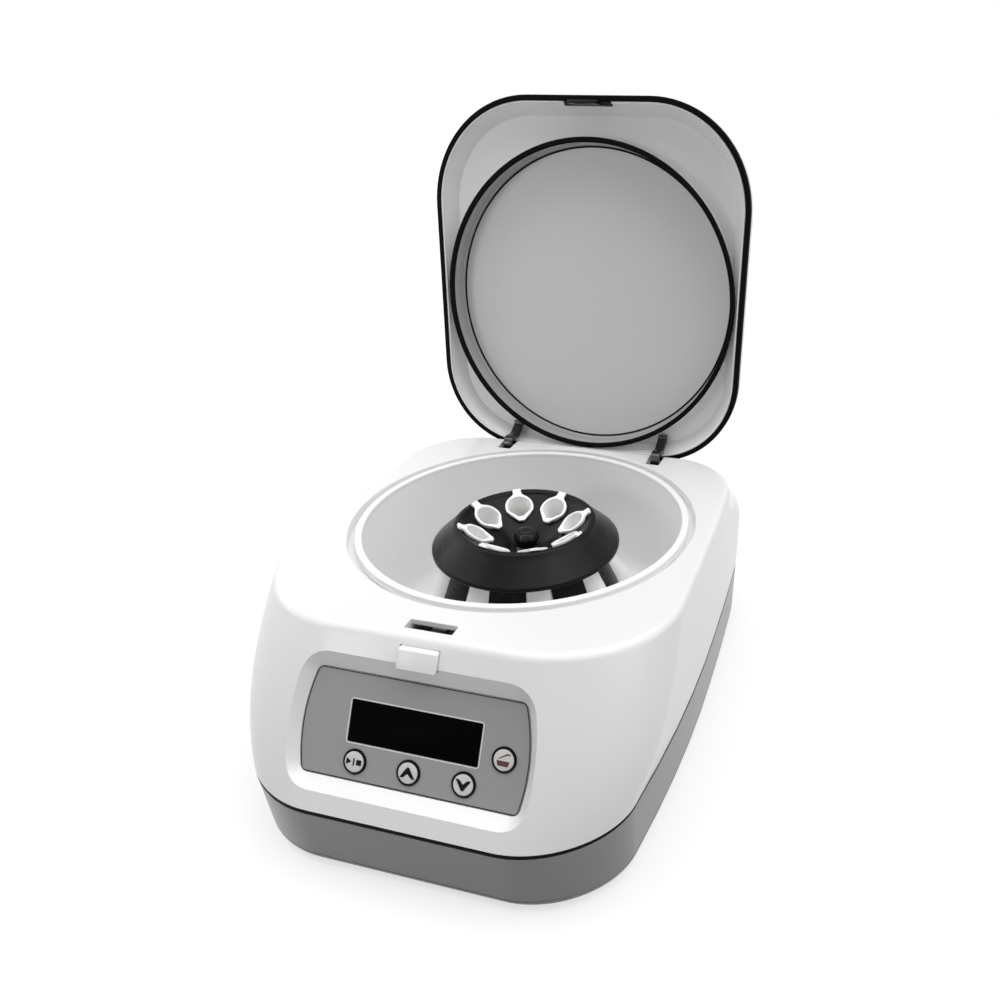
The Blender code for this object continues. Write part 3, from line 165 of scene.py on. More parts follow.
class CentrifugeBodySizes(PropertyGroup):
    """Sizes of the white housing, the grey base and the chamber."""

    deck_height: length("Deck height", "Height of the flat deck over the underside of the base", 0.126)
    deck_front: length("Deck front", "Reach of the deck forwards of the rotor's axis", 0.1365)
    deck_back: length("Deck back", "Reach of the deck behind the rotor's axis", 0.1165)
    deck_half_width: length("Deck half width", "Half of the deck's width", 0.1208)
    parting_height: length("Parting height", "Height of the joint between the housing and the base", 0.041)
    parting_front: length("Parting front", "Reach of the body forwards at the joint", 0.1878)
    parting_back: length("Parting back", "Reach of the body backwards at the joint", 0.172)
    parting_half_width: length("Parting half width", "Half of the body's width at the joint", 0.1222)
    base_front: length("Base front", "Reach of the base forwards at its underside", 0.1834)
    base_back: length("Base back", "Reach of the base backwards at its underside", 0.167)
    base_half_width: length("Base half width", "Half of the base's width at its underside", 0.1215)
    foot_height: length("Foot height", "How far the rubber feet stand out below the base", 0.005)
    chamber_radius: length("Chamber radius", "Inner radius of the rotor chamber", 0.100)
    rim_radius: length("Rim radius", "Outer radius of the chamber's rolled rim", 0.1045)
    moat_radius: length("Groove radius", "Outer radius of the groove round the rim", 0.1088)
    bowl_floor: length("Chamber floor", "Height of the chamber's floor over the underside", 0.042)


class CentrifugeRotorSizes(PropertyGroup):
    """Sizes of the angle rotor and its tube sleeves."""

    tube_count: IntProperty(name="Places", description="Number of tube places round the rotor", default=8,
                            min=2, max=12)
    tube_angle: FloatProperty(name="Tube angle", description="Lean of the tubes away from the axis",
                              default=math.radians(32), subtype="ANGLE", unit="ROTATION")
    mouth_radius: length("Mouth radius", "Distance of the sleeve mouths from the axis", 0.030)
    mouth_drop: length("Mouth drop", "Depth of the sleeve mouths below the deck", 0.0075)
    skirt_radius: length("Skirt radius", "Outer radius of the rotor's skirt", 0.060)
    skirt_drop: length("Skirt drop", "Depth of the skirt's lower edge below the deck", 0.0198)
    lip_radius: length("Lip radius", "Outer radius of the rotor's lip", 0.0457)
    sleeve_radius: length("Sleeve radius", "Outer radius of a tube sleeve", 0.0088)
    sleeve_bore: length("Sleeve bore", "Inner radius of a tube sleeve", 0.0077)
    sleeve_length: length("Sleeve length", "Length of a tube sleeve", 0.084)


class CentrifugeLidSizes(PropertyGroup):
    """Sizes of the lid, measured with the lid shut."""

    half_width: length("Lid half width", "Half of the lid's width", 0.112)
    front: length("Lid front", "Reach of the shut lid forwards", 0.130)
    back: length("Lid back", "Reach of the shut lid backwards", 0.111)
    front_corner: length("Front corner", "Radius of the corners at the lid's free edge", 0.070)
    back_corner: length("Back corner", "Radius of the corners at the hinges", 0.061)
    trim_width: length("Trim width", "Width of the black trim under the lid's edge", 0.0032)
    trim_height: length("Trim height", "Height of the black trim on the lid's side", 0.0052)
    ring_radius: length("Ring radius", "Outer radius of the sealing ring's wall", 0.1053)
    tray_depth: length("Tray depth", "Depth of the grey tray under the lid", 0.012)
    disc_depth: length("Disc depth", "Depth of the round disc inside the ring", 0.0165)
    hinge_y: length("Hinge place", "How far the hinge lies behind the rotor's axis", 0.1122)
    hinge_drop: length("Hinge drop", "How far the hinge lies below the deck", 0.0073)
    open_angle: FloatProperty(name="Opening angle", description="How far the lid stands open in the frame",
                              default=math.radians(96.6), subtype="ANGLE", unit="ROTATION")


class CentrifugeColours(PropertyGroup):
    """Colours of the finishes."""

    shell: colour("Housing", "White moulded housing, cover and button", (0.80, 0.80, 0.795))
    base: colour("Base", "Grey moulded base", (0.195, 0.195, 0.192))
    # Painted light: the tray's grey is lifted above the disc's to offset the shade on its sloped border
    tray: colour("Lid tray", "Pale grey inner tray of the lid", (0.83, 0.835, 0.835))
    # Painted light: the wall's colour is lifted above the rim's to offset the shade inside the chamber
    bowl: colour("Chamber", "Pale wall of the chamber", (0.945, 0.945, 0.942))
    bowl_rim: colour("Chamber rim", "White coated rim of the chamber", (0.86, 0.86, 0.86))
    rotor: colour("Rotor", "Black anodised rotor", (0.008, 0.008, 0.0084))
    sleeve: colour("Sleeve", "Pale plastic of the tube sleeves", (0.97, 0.97, 0.965))
    rubber: colour("Rubber", "Black rubber of the seals", (0.005, 0.005, 0.005))
    film: colour("Panel film", "Grey printed film of the panel", (0.30, 0.302, 0.305))
    key: colour("Key face", "Silvery face of the keys", (0.62, 0.62, 0.61))
    dark_steel: colour("Dark steel", "Blackened steel of the striker", (0.014, 0.014, 0.015))


def body_sizes():
    return bpy.context.scene.centrifuge_body


def rotor_sizes():
    return bpy.context.scene.centrifuge_rotor


def lid_sizes():
    return bpy.context.scene.centrifuge_lid


def colours():
    return bpy.context.scene.centrifuge_colours


# ---------------------------------------------------------------- shared surface effects


def new_group(name, inputs, outputs):
    """An empty shader node group with its named inputs and outputs."""
    group = bpy.data.node_groups.new(name, "ShaderNodeTree")
    for kind, label, default in inputs:
        socket = group.interface.new_socket(name=label, in_out="INPUT", socket_type=kind)
        if default is not None:
            socket.default_value = default
    for kind, label in outputs:
        group.interface.new_socket(name=label, in_out="OUTPUT", socket_type=kind)
    return group, group.nodes.new("NodeGroupInput"), group.nodes.new("NodeGroupOutput")


def add_noise(tree, coordinates, scale, detail, roughness=0.55):
    noise = tree.nodes.new("ShaderNodeTexNoise")
    noise.inputs["Detail"].default_value = detail
    noise.inputs["Roughness"].default_value = roughness
    tree.links.new(coordinates, noise.inputs["Vector"])
    if isinstance(scale, (int, float)):
        noise.inputs["Scale"].default_value = scale
    else:
        tree.links.new(scale, noise.inputs["Scale"])
    return noise.outputs["Fac"]


def add_math(tree, operation, one, two):
    node = tree.nodes.new("ShaderNodeMath")
    node.operation = operation
    for place, value in enumerate((one, two)):
        if value is None:
            continue
        if isinstance(value, (int, float)):
            node.inputs[place].default_value = value
        else:
            tree.links.new(value, node.inputs[place])
    return node.outputs["Value"]


def add_mix(tree, share, one, two, blend="MIX"):
    """A colour mix; each colour is a socket or a plain triple."""
    node = tree.nodes.new("ShaderNodeMix")
    node.data_type = "RGBA"
    node.blend_type = blend
    if isinstance(share, (int, float)):
        node.inputs["Factor"].default_value = share
    else:
        tree.links.new(share, node.inputs["Factor"])
    for socket, value in ((node.inputs[6], one), (node.inputs[7], two)):
        if isinstance(value, tuple):
            socket.default_value = (*value, 1.0)
        else:
            tree.links.new(value, socket)
    return node.outputs[2]


def shaded_colour(tree, base, amount, share):
    """A colour made a little darker or lighter by a noise around its middle."""
    centred = add_math(tree, "SUBTRACT", share, 0.5)
    swing = add_math(tree, "MULTIPLY", centred, amount)
    lift = add_math(tree, "ADD", swing, 1.0)
    node = tree.nodes.new("ShaderNodeVectorMath")
    node.operation = "SCALE"
    tree.links.new(base, node.inputs[0])
    tree.links.new(lift, node.inputs["Scale"])
    return node.outputs["Vector"]


def moulded_grain():
    """Moulded plastic: a fine spark-eroded grain, and slow changes of tone and gloss."""
    group, source, result = new_group(
        "Moulded grain",
        [("NodeSocketVector", "Place", None), ("NodeSocketColor", "Colour", (0.8, 0.8, 0.8, 1.0)),
         ("NodeSocketFloat", "Tone change", 0.04), ("NodeSocketFloat", "Grain scale", 2400.0),
         ("NodeSocketFloat", "Roughness", 0.4), ("NodeSocketFloat", "Gloss change", 0.08)],
        [("NodeSocketColor", "Colour"), ("NodeSocketFloat", "Roughness"), ("NodeSocketFloat", "Height")],
    )
    place = source.outputs["Place"]
    cloud = add_noise(group, place, 16.0, 3.0)
    grain = add_noise(group, place, source.outputs["Grain scale"], 2.0)
    group.links.new(shaded_colour(group, source.outputs["Colour"], source.outputs["Tone change"], cloud),
                    result.inputs["Colour"])
    centred = add_math(group, "SUBTRACT", cloud, 0.5)
    swing = add_math(group, "MULTIPLY", centred, source.outputs["Gloss change"])
    group.links.new(add_math(group, "ADD", source.outputs["Roughness"], swing), result.inputs["Roughness"])
    group.links.new(grain, result.inputs["Height"])
    return group


def turned_lines():
    """Fine lines left by a lathe, running round the rotor's axis."""
    group, source, result = new_group(
        "Turned lines",
        [("NodeSocketVector", "Place", None), ("NodeSocketFloat", "Line scale", 3000.0)],
        [("NodeSocketFloat", "Height"), ("NodeSocketFloat", "Streak")],
    )
    split = group.nodes.new("ShaderNodeSeparateXYZ")
    group.links.new(source.outputs["Place"], split.inputs[0])
    square = add_math(group, "ADD", add_math(group, "MULTIPLY", split.outputs["X"], split.outputs["X"]),
                      add_math(group, "MULTIPLY", split.outputs["Y"], split.outputs["Y"]))
    radius = add_math(group, "SQRT", square, None)
    turned_place = group.nodes.new("ShaderNodeCombineXYZ")
    group.links.new(radius, turned_place.inputs["X"])
    group.links.new(split.outputs["Z"], turned_place.inputs["Z"])
    lines = add_noise(group, turned_place.outputs[0], source.outputs["Line scale"], 2.0)
    bands = add_noise(group, turned_place.outputs[0], 240.0, 2.0)
    group.links.new(lines, result.inputs["Height"])
    group.links.new(bands, result.inputs["Streak"])
    return group


def brushed_lines():
    """Long scratches of brushed or rolled metal, along X."""
    group, source, result = new_group(
        "Brushed lines",
        [("NodeSocketVector", "Place", None), ("NodeSocketFloat", "Line scale", 900.0)],
        [("NodeSocketFloat", "Height"), ("NodeSocketFloat", "Streak")],
    )
    stretch = group.nodes.new("ShaderNodeMapping")
    stretch.inputs["Scale"].default_value = (0.04, 1.0, 1.0)
    group.links.new(source.outputs["Place"], stretch.inputs["Vector"])
    group.links.new(add_noise(group, stretch.outputs["Vector"], source.outputs["Line scale"], 3.0),
                    result.inputs["Height"])
    group.links.new(add_noise(group, stretch.outputs["Vector"], 160.0, 3.0), result.inputs["Streak"])
    return group


def clouded_plastic():
    """Pale translucent plastic: soft cloudy patches and faint specks."""
    group, source, result = new_group(
        "Clouded plastic",
        [("NodeSocketVector", "Place", None), ("NodeSocketColor", "Colour", (0.8, 0.8, 0.8, 1.0)),
         ("NodeSocketColor", "Cloud colour", (0.6, 0.6, 0.6, 1.0))],
        [("NodeSocketColor", "Colour"), ("NodeSocketFloat", "Roughness"), ("NodeSocketFloat", "Height")],
    )
    place = source.outputs["Place"]
    patches = add_noise(group, place, 260.0, 5.0, 0.62)
    ramp = group.nodes.new("ShaderNodeMapRange")
    ramp.inputs["From Min"].default_value = 0.46
    ramp.inputs["From Max"].default_value = 0.72
    ramp.inputs["To Max"].default_value = 0.75
    group.links.new(patches, ramp.inputs["Value"])
    clouded = add_mix(group, ramp.outputs["Result"], source.outputs["Colour"], source.outputs["Cloud colour"])
    group.links.new(clouded, result.inputs["Colour"])
    gloss = group.nodes.new("ShaderNodeMapRange")
    gloss.inputs["To Min"].default_value = 0.30
    gloss.inputs["To Max"].default_value = 0.48
    group.links.new(patches, gloss.inputs["Value"])
    group.links.new(gloss.outputs["Result"], result.inputs["Roughness"])
    group.links.new(patches, result.inputs["Height"])
    return group


def board_pattern():
    """Printed board: lacquer over copper tracks and rows of solder pads."""
    group, source, result = new_group(
        "Board pattern",
        [("NodeSocketVector", "Place", None), ("NodeSocketColor", "Lacquer", (0.01, 0.09, 0.03, 1.0)),
         ("NodeSocketColor", "Track", (0.02, 0.16, 0.06, 1.0)),
         ("NodeSocketColor", "Solder", (0.5, 0.5, 0.48, 1.0))],
        [("NodeSocketColor", "Colour"), ("NodeSocketFloat", "Metal"), ("NodeSocketFloat", "Height")],
    )
    bricks = group.nodes.new("ShaderNodeTexBrick")
    bricks.inputs["Scale"].default_value = 260.0
    bricks.inputs["Mortar Size"].default_value = 0.06
    group.links.new(source.outputs["Place"], bricks.inputs["Vector"])
    cells = group.nodes.new("ShaderNodeTexVoronoi")
    cells.inputs["Scale"].default_value = 300.0
    cells.inputs["Randomness"].default_value = 0.35
    group.links.new(source.outputs["Place"], cells.inputs["Vector"])
    pads = add_math(group, "LESS_THAN", cells.outputs["Distance"], 0.16)
    tracks = add_mix(group, bricks.outputs["Fac"], source.outputs["Lacquer"], source.outputs["Track"])
    group.links.new(add_mix(group, pads, tracks, source.outputs["Solder"]), result.inputs["Colour"])
    group.links.new(pads, result.inputs["Metal"])
    group.links.new(add_math(group, "ADD", bricks.outputs["Fac"], pads), result.inputs["Height"])
    return group


effects = {
    "Moulded grain": moulded_grain,
    "Turned lines": turned_lines,
    "Brushed lines": brushed_lines,
    "Clouded plastic": clouded_plastic,
    "Board pattern": board_pattern,
}


def place_effect(tree, name, values):
    """Puts a shared effect into a material, reading the piece's own coordinates."""
    group = bpy.data.node_groups.get(name) or effects[name]()
    node = tree.nodes.new("ShaderNodeGroup")
    node.node_tree = group
    coordinates = tree.nodes.new("ShaderNodeTexCoord")
    tree.links.new(coordinates.outputs["Object"], node.inputs["Place"])
    for label, value in values.items():
        node.inputs[label].default_value = value
    return node


def new_finish(name, colour_value, roughness, metallic=0.0):
    made = bpy.data.materials.new(name)
    made.use_nodes = True
    shader = made.node_tree.nodes["Principled BSDF"]
    shader.inputs["Base Color"].default_value = (*colour_value, 1.0)
    shader.inputs["Roughness"].default_value = roughness
    shader.inputs["Metallic"].default_value = metallic
    made.diffuse_color = (*colour_value, 1.0)
    return made, made.node_tree, shader


def bump_from(tree, shader, height, strength, distance):
    bump = tree.nodes.new("ShaderNodeBump")
    bump.inputs["Strength"].default_value = strength
    bump.inputs["Distance"].default_value = distance
    tree.links.new(height, bump.inputs["Height"])
    tree.links.new(bump.outputs["Normal"], shader.inputs["Normal"])


def plastic_finish(name, colour_value, roughness, grain=2400.0, strength=0.12, tone=0.03, gloss=0.06,
                   coat=0.0, mirror=0.5):
    """Moulded plastic or rubber; mirror is its specular level."""
    made, tree, shader = new_finish(name, colour_value, roughness)
    effect = place_effect(tree, "Moulded grain", {"Colour": (*colour_value, 1.0), "Tone change": tone,
                                                  "Grain scale": grain, "Roughness": roughness,
                                                  "Gloss change": gloss})
    tree.links.new(effect.outputs["Colour"], shader.inputs["Base Color"])
    tree.links.new(effect.outputs["Roughness"], shader.inputs["Roughness"])
    bump_from(tree, shader, effect.outputs["Height"], strength, 0.00005)
    shader.inputs["Coat Weight"].default_value = coat
    shader.inputs["Coat Roughness"].default_value = 0.12
    shader.inputs["Specular IOR Level"].default_value = mirror
    return made


def metal_finish(name, colour_value, roughness, effect_name, scale, metallic=1.0, spread=0.12, strength=0.15,
                 mirror=0.5):
    """A metal whose gloss follows its turned or brushed lines."""
    made, tree, shader = new_finish(name, colour_value, roughness, metallic)
    effect = place_effect(tree, effect_name, {"Line scale": scale})
    gloss = tree.nodes.new("ShaderNodeMapRange")
    gloss.inputs["To Min"].default_value = roughness - spread / 2
    gloss.inputs["To Max"].default_value = roughness + spread / 2
    tree.links.new(effect.outputs["Streak"], gloss.inputs["Value"])
    tree.links.new(gloss.outputs["Result"], shader.inputs["Roughness"])
    tone = add_mix(tree, effect.outputs["Streak"], tuple(0.82 * part for part in colour_value),
                   tuple(min(1.0, 1.18 * part) for part in colour_value))
    tree.links.new(tone, shader.inputs["Base Color"])
    bump_from(tree, shader, effect.outputs["Height"], strength, 0.00004)
    shader.inputs["Specular IOR Level"].default_value = mirror
    return made


def bowl_finish():
    """Coated chamber with a white rolled rim; the wall is painted lighter than the rim to offset the shade
    inside the chamber.
    """
    hues = colours()
    made, tree, shader = new_finish("Chamber coating", tuple(hues.bowl), 0.34)
    effect = place_effect(tree, "Moulded grain", {
        "Colour": (1.0, 1.0, 1.0, 1.0), "Tone change": 0.03, "Grain scale": 900.0, "Roughness": 0.34,
        "Gloss change": 0.06})
    coordinates = tree.nodes.new("ShaderNodeTexCoord")
    split = tree.nodes.new("ShaderNodeSeparateXYZ")
    tree.links.new(coordinates.outputs["Object"], split.inputs[0])
    rim = tree.nodes.new("ShaderNodeMapRange")
    rim.inputs["From Min"].default_value = body_sizes().deck_height - 0.0032
    rim.inputs["From Max"].default_value = body_sizes().deck_height - 0.0022
    tree.links.new(split.outputs["Z"], rim.inputs["Value"])
    # The wall's lifted colour is painted light against the chamber's shade; the rim keeps the coating's white
    tone = add_mix(tree, rim.outputs["Result"], tuple(hues.bowl), tuple(hues.bowl_rim))
    grained = add_mix(tree, 1.0, tone, effect.outputs["Colour"], "MULTIPLY")
    tree.links.new(grained, shader.inputs["Base Color"])
    tree.links.new(effect.outputs["Roughness"], shader.inputs["Roughness"])
    bump_from(tree, shader, effect.outputs["Height"], 0.10, 0.00005)
    return made


def sleeve_finish():
    hue = tuple(colours().sleeve)
    made, tree, shader = new_finish("Sleeve plastic", hue, 0.38)
    cloud = (*(cloud_share * part for part in hue), 1.0)
    effect = place_effect(tree, "Clouded plastic", {"Colour": (*hue, 1.0), "Cloud colour": cloud})
    tree.links.new(effect.outputs["Colour"], shader.inputs["Base Color"])
    tree.links.new(effect.outputs["Roughness"], shader.inputs["Roughness"])
    bump_from(tree, shader, effect.outputs["Height"], 0.2, 0.0002)
    shader.inputs["Subsurface Weight"].default_value = 0.08
    shader.inputs["Subsurface Radius"].default_value = (0.002, 0.002, 0.002)
    shader.inputs["Subsurface Scale"].default_value = 1.0
    return made


def board_finish():
    made, tree, shader = new_finish("Printed board", (0.01, 0.09, 0.03), 0.35)
    effect = place_effect(tree, "Board pattern", {})
    tree.links.new(effect.outputs["Colour"], shader.inputs["Base Color"])
    tree.links.new(effect.outputs["Metal"], shader.inputs["Metallic"])
    bump_from(tree, shader, effect.outputs["Height"], 0.4, 0.0001)
    return made


special_finishes = {
    "Chamber coating": bowl_finish,
    "Sleeve plastic": sleeve_finish,
    "Printed board": board_finish,
}


def finish(kind):
    """The finish of that name, made the first time it is asked for."""
    found = bpy.data.materials.get(kind)
    if found:
        return found
    if kind in special_finishes:
        return special_finishes[kind]()
    hues = colours()
    plastics = {
        "Housing plastic": dict(colour_value=tuple(hues.shell), roughness=0.30, grain=1500.0, strength=0.08,
                                tone=0.02, gloss=0.05, coat=0.25),
        "Base plastic": dict(colour_value=tuple(hues.base), roughness=0.28, grain=1800.0),
        "Tray plastic": dict(colour_value=tuple(hues.tray), roughness=0.36, grain=1600.0, strength=0.10,
                             gloss=0.05),
        # The disc's grey is a share of the tray's, so the tray stands lighter as painted light against its
        # shade
        "Disc plastic": dict(colour_value=tuple(disc_share_of_painted_tray * part for part in hues.tray), roughness=0.40,
                             grain=1600.0, strength=0.10, gloss=0.05),
        "Seal rubber": dict(colour_value=tuple(hues.rubber), roughness=0.60, grain=1200.0, strength=0.25,
                            tone=0.20, gloss=0.10, mirror=0.04),
        # Darker grey of the sheet painted as shade on the ring wall's inner face
        "Ring wall painted shade": dict(colour_value=(0.40, 0.40, 0.402), roughness=0.45, grain=1200.0, strength=0.15,
                            tone=0.10, gloss=0.10),
        "Foot rubber": dict(colour_value=(0.022, 0.022, 0.022), roughness=0.75, grain=900.0, strength=0.40,
                            tone=0.25, gloss=0.10),
        "Motor paint": dict(colour_value=(0.045, 0.047, 0.05), roughness=0.45, grain=900.0, strength=0.3),
        "Panel film": dict(colour_value=tuple(hues.film), roughness=0.36, grain=3200.0, strength=0.10,
                           gloss=0.04),
        "Print black": dict(colour_value=(0.005, 0.005, 0.005), roughness=0.42, strength=0.10, tone=0.2,
                            mirror=0.08),
        "Print red": dict(colour_value=(0.070, 0.012, 0.010), roughness=0.42, strength=0.10, tone=0.2),
        "Print white": dict(colour_value=(0.72, 0.72, 0.72), roughness=0.42, strength=0.10, tone=0.05),
        "Display glass": dict(colour_value=(0.0015, 0.0015, 0.0016), roughness=0.22, grain=300.0,
                              strength=0.02, tone=0.2, gloss=0.02, mirror=0.01),
        "Key face": dict(colour_value=tuple(hues.key), roughness=0.32, grain=2600.0, strength=0.15,
                         tone=0.06),
        "Latch plastic": dict(colour_value=(0.74, 0.73, 0.71), roughness=0.42, grain=1500.0, strength=0.2,
                              tone=0.06),
        "Socket plastic": dict(colour_value=(0.018, 0.018, 0.019), roughness=0.38, grain=1500.0, strength=0.2,
                               tone=0.15),
    }
    metals = {
        "Rotor anodising": dict(colour_value=tuple(hues.rotor), roughness=0.27, effect_name="Turned lines",
                                scale=2600.0, metallic=0.20, spread=0.10, strength=0.12, mirror=0.12),
        "Arm steel": dict(colour_value=(0.060, 0.060, 0.062), roughness=0.24, effect_name="Brushed lines",
                          scale=700.0, metallic=0.95),
        "Blackened steel": dict(colour_value=tuple(hues.dark_steel), roughness=0.34,
                                effect_name="Brushed lines", scale=700.0, metallic=0.85, spread=0.10,
                                mirror=0.15),
        "Bright steel": dict(colour_value=(0.56, 0.57, 0.58), roughness=0.26, effect_name="Brushed lines",
                             scale=900.0),
        "Turned steel": dict(colour_value=(0.56, 0.57, 0.58), roughness=0.24, effect_name="Turned lines",
                             scale=2200.0),
        "Nut black": dict(colour_value=(0.010, 0.010, 0.010), roughness=0.22, effect_name="Turned lines",
                          scale=1800.0, metallic=0.6),
    }
    if kind in plastics:
        return plastic_finish(kind, **plastics[kind])
    return metal_finish(kind, **metals[kind])


# ---------------------------------------------------------------- modelling helpers


def let_go():
    """Leaves edit mode and deselects everything."""
    if bpy.context.object and bpy.context.object.mode != "OBJECT":
        bpy.ops.object.mode_set(mode="OBJECT")
    bpy.ops.object.select_all(action="DESELECT")


def pick(item):
    let_go()
    item.select_set(True)
    bpy.context.view_layer.objects.active = item


def start_outline(name, points):
    """A circle primitive whose points are moved onto an outline."""
    let_go()
    bpy.ops.mesh.primitive_circle_add(vertices=len(points), radius=0.01, fill_type="NOTHING",
                                      location=(0, 0, 0))
    item = bpy.context.object
    item.name = name
    for vertex, point in zip(item.data.vertices, points):
        vertex.co = point
    return item


def extrude_onto(item, row, points):
    """Extrudes the selected open edge and moves each new point to its place on the next outline."""
    bpy.ops.mesh.extrude_edges_move()
    mesh = bmesh.from_edit_mesh(item.data)
    mesh.verts.ensure_lookup_table()
    known = {index: number for number, index in enumerate(row)}
    placed = {}
    for vertex in mesh.verts:
        if not vertex.select:
            continue
        for edge in vertex.link_edges:
            other = edge.other_vert(vertex)
            if other.index in known and not other.select:
                placed[known[other.index]] = vertex
    for number, vertex in placed.items():
        vertex.co = points[number]
    mesh.verts.index_update()
    bmesh.update_edit_mesh(item.data)
    return [placed[number].index for number in range(len(points))]


def select_row(item, row):
    bpy.ops.mesh.select_all(action="DESELECT")
    mesh = bmesh.from_edit_mesh(item.data)
    mesh.verts.ensure_lookup_table()
    for index in row:
        mesh.verts[index].select = True
    mesh.select_flush(True)
    bmesh.update_edit_mesh(item.data)


def close_up(threshold=0.000001):
    """Merges doubles, drops loose points and turns all faces outwards, in edit mode."""
    bpy.ops.mesh.select_all(action="SELECT")
    bpy.ops.mesh.remove_doubles(threshold=threshold)
    bpy.ops.mesh.delete_loose()
    bpy.ops.mesh.select_all(action="SELECT")
    bpy.ops.mesh.normals_make_consistent(inside=False)
    bpy.ops.object.mode_set(mode="OBJECT")


def drawn(name, outlines, hoop=False):
    """A solid extruded from outline to outline; a hoop is closed on its first outline, another is capped."""
    item = start_outline(name, outlines[0])
    bpy.ops.object.mode_set(mode="EDIT")
    bpy.ops.mesh.select_mode(type="VERT")
    bpy.ops.mesh.select_all(action="SELECT")
    first = row = list(range(len(outlines[0])))
    for points in list(outlines[1:]) + ([outlines[0]] if hoop else []):
        row = extrude_onto(item, row, points)
    if not hoop:
        for end in (row, first):
            select_row(item, end)
            bpy.ops.mesh.edge_face_add()
    close_up()
    return item


def turned(name, profile, steps=turn_steps):
    """A profile of (radius, height) points spun round Z."""
    item = start_outline(name, [(radius, 0.0, height) for radius, height in profile])
    bpy.ops.object.mode_set(mode="EDIT")
    bpy.ops.mesh.select_mode(type="VERT")
    bpy.ops.mesh.select_all(action="SELECT")
    bpy.ops.mesh.spin(steps=steps, angle=math.tau, center=(0, 0, 0), axis=(0, 0, 1))
    close_up()
    return item


def rod(name, radius, low, high, steps):
    """A round rod along Z."""
    return turned(name, [(0, low), (radius, low), (radius, high), (0, high)], steps)


def bevel_all(edge, segments):
    """Bevels every edge of the active object."""
    bpy.ops.object.mode_set(mode="EDIT")
    bpy.ops.mesh.select_all(action="SELECT")
    bpy.ops.mesh.bevel(offset=edge, segments=segments, affect="EDGES")
    bpy.ops.object.mode_set(mode="OBJECT")


def boxed(name, low, high, edge=0.0, segments=2):
    """A cube primitive at its size and place, with its edges bevelled."""
    let_go()
    centre = [(a + b) / 2 for a, b in zip(low, high)]
    bpy.ops.mesh.primitive_cube_add(size=1.0, location=centre)
    item = bpy.context.object
    item.name = name
    item.scale = [b - a for a, b in zip(low, high)]
    settle(item)
    if edge:
        bevel_all(edge, segments)
    return item


def settle(item):
    """Applies the object's place, turn and scale to its mesh."""
    pick(item)
    bpy.ops.object.transform_apply(location=True, rotation=True, scale=True)
    return item


def put(item, matrix):
    item.matrix_world = matrix
    return settle(item)


def apply_step(item, kind, **settings):
    """Adds a modifier with its settings and applies it."""
    pick(item)
    bpy.ops.object.modifier_add(type=kind)
    step = item.modifiers[-1]
    for key, value in settings.items():
        setattr(step, key, value)
    bpy.ops.object.modifier_apply(modifier=step.name)
    return item


def drop(item):
    """Removes a pattern or a tool that has served."""
    bpy.data.objects.remove(item, do_unlink=True)


def carve(item, tools, operation="DIFFERENCE"):
    """Cuts or joins the item with each tool in turn and drops the tools."""
    for tool in tools:
        apply_step(item, "BOOLEAN", operation=operation, solver="EXACT", object=tool)
        drop(tool)
    return item


def join_up(name, items):
    """Several shapes as one object."""
    pick(items[0])
    for item in items[1:]:
        item.select_set(True)
    bpy.context.view_layer.objects.active = items[0]
    bpy.ops.object.join()
    made = bpy.context.object
    made.name = name
    return made


def dress(item, kind, body, nodes=(), angle=32, even=False):
    """Smooths, finishes and places a piece on the body that carries it."""
    pick(item)
    bpy.ops.object.shade_smooth_by_angle(angle=math.radians(angle))
    if even:
        apply_step(item, "WEIGHTED_NORMAL", keep_sharp=True)
    item.data.name = item.name
    item.data.materials.clear()
    item.data.materials.append(finish(kind))
    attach(item, body)
    if nodes:
        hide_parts(*nodes)
    return item


def copied(item, name, matrix):
    """A copy of a finished shape with its own mesh, put in its place."""
    pick(item)
    bpy.ops.object.duplicate(linked=False)
    made = bpy.context.object
    made.name = name
    return put(made, matrix)


def mix(a, b, share):
    return a + (b - a) * share


def quarter_turn(steps, first=0):
    """The angles of a quarter turn in even steps, from the first step on."""
    return [math.radians(90) * k / steps for k in range(first, steps + 1)]


def arc(centre, radius, start, end, steps):
    """Points on an arc, with angles in degrees."""
    angles = [math.radians(mix(start, end, k / steps)) for k in range(steps + 1)]
    return [(centre[0] + radius * math.cos(a), centre[1] + radius * math.sin(a)) for a in angles]


def smooth_through(stations, at):
    """A smooth value between (place, value) stations that never overshoots them."""
    if at <= stations[0][0]:
        return stations[0][1]
    if at >= stations[-1][0]:
        return stations[-1][1]
    rates = [(b1 - b0) / (a1 - a0) for (a0, b0), (a1, b1) in zip(stations, stations[1:])]
    inner_slopes = [2 * a * b / (a + b) if a * b > 0 else 0.0 for a, b in zip(rates, rates[1:])]
    slopes = [rates[0]] + inner_slopes + [rates[-1]]
    i = max(k for k in range(len(rates)) if stations[k][0] <= at)
    span = stations[i + 1][0] - stations[i][0]
    t = (at - stations[i][0]) / span
    start = (2 * t ** 3 - 3 * t ** 2 + 1) * stations[i][1] + (t ** 3 - 2 * t ** 2 + t) * span * slopes[i]
    end = (3 * t ** 2 - 2 * t ** 3) * stations[i + 1][1] + (t ** 3 - t ** 2) * span * slopes[i + 1]
    return start + end


def rounded_line(points, radius, steps=6):
    """A closed line of (a, b) corners, each rounded off by up to a radius."""
    made = []
    count = len(points)
    for k in range(count):
        before, here, after = Vector(points[k - 1]), Vector(points[k]), Vector(points[(k + 1) % count])
        back, on = before - here, after - here
        reach = min(radius, 0.49 * back.length, 0.49 * on.length)
        one, two = here + back.normalized() * reach, here + on.normalized() * reach
        for s in range(steps + 1):
            t = s / steps
            point = one * (1 - t) ** 2 + here * (2 * t * (1 - t)) + two * t * t
            made.append((point.x, point.y))
    return made


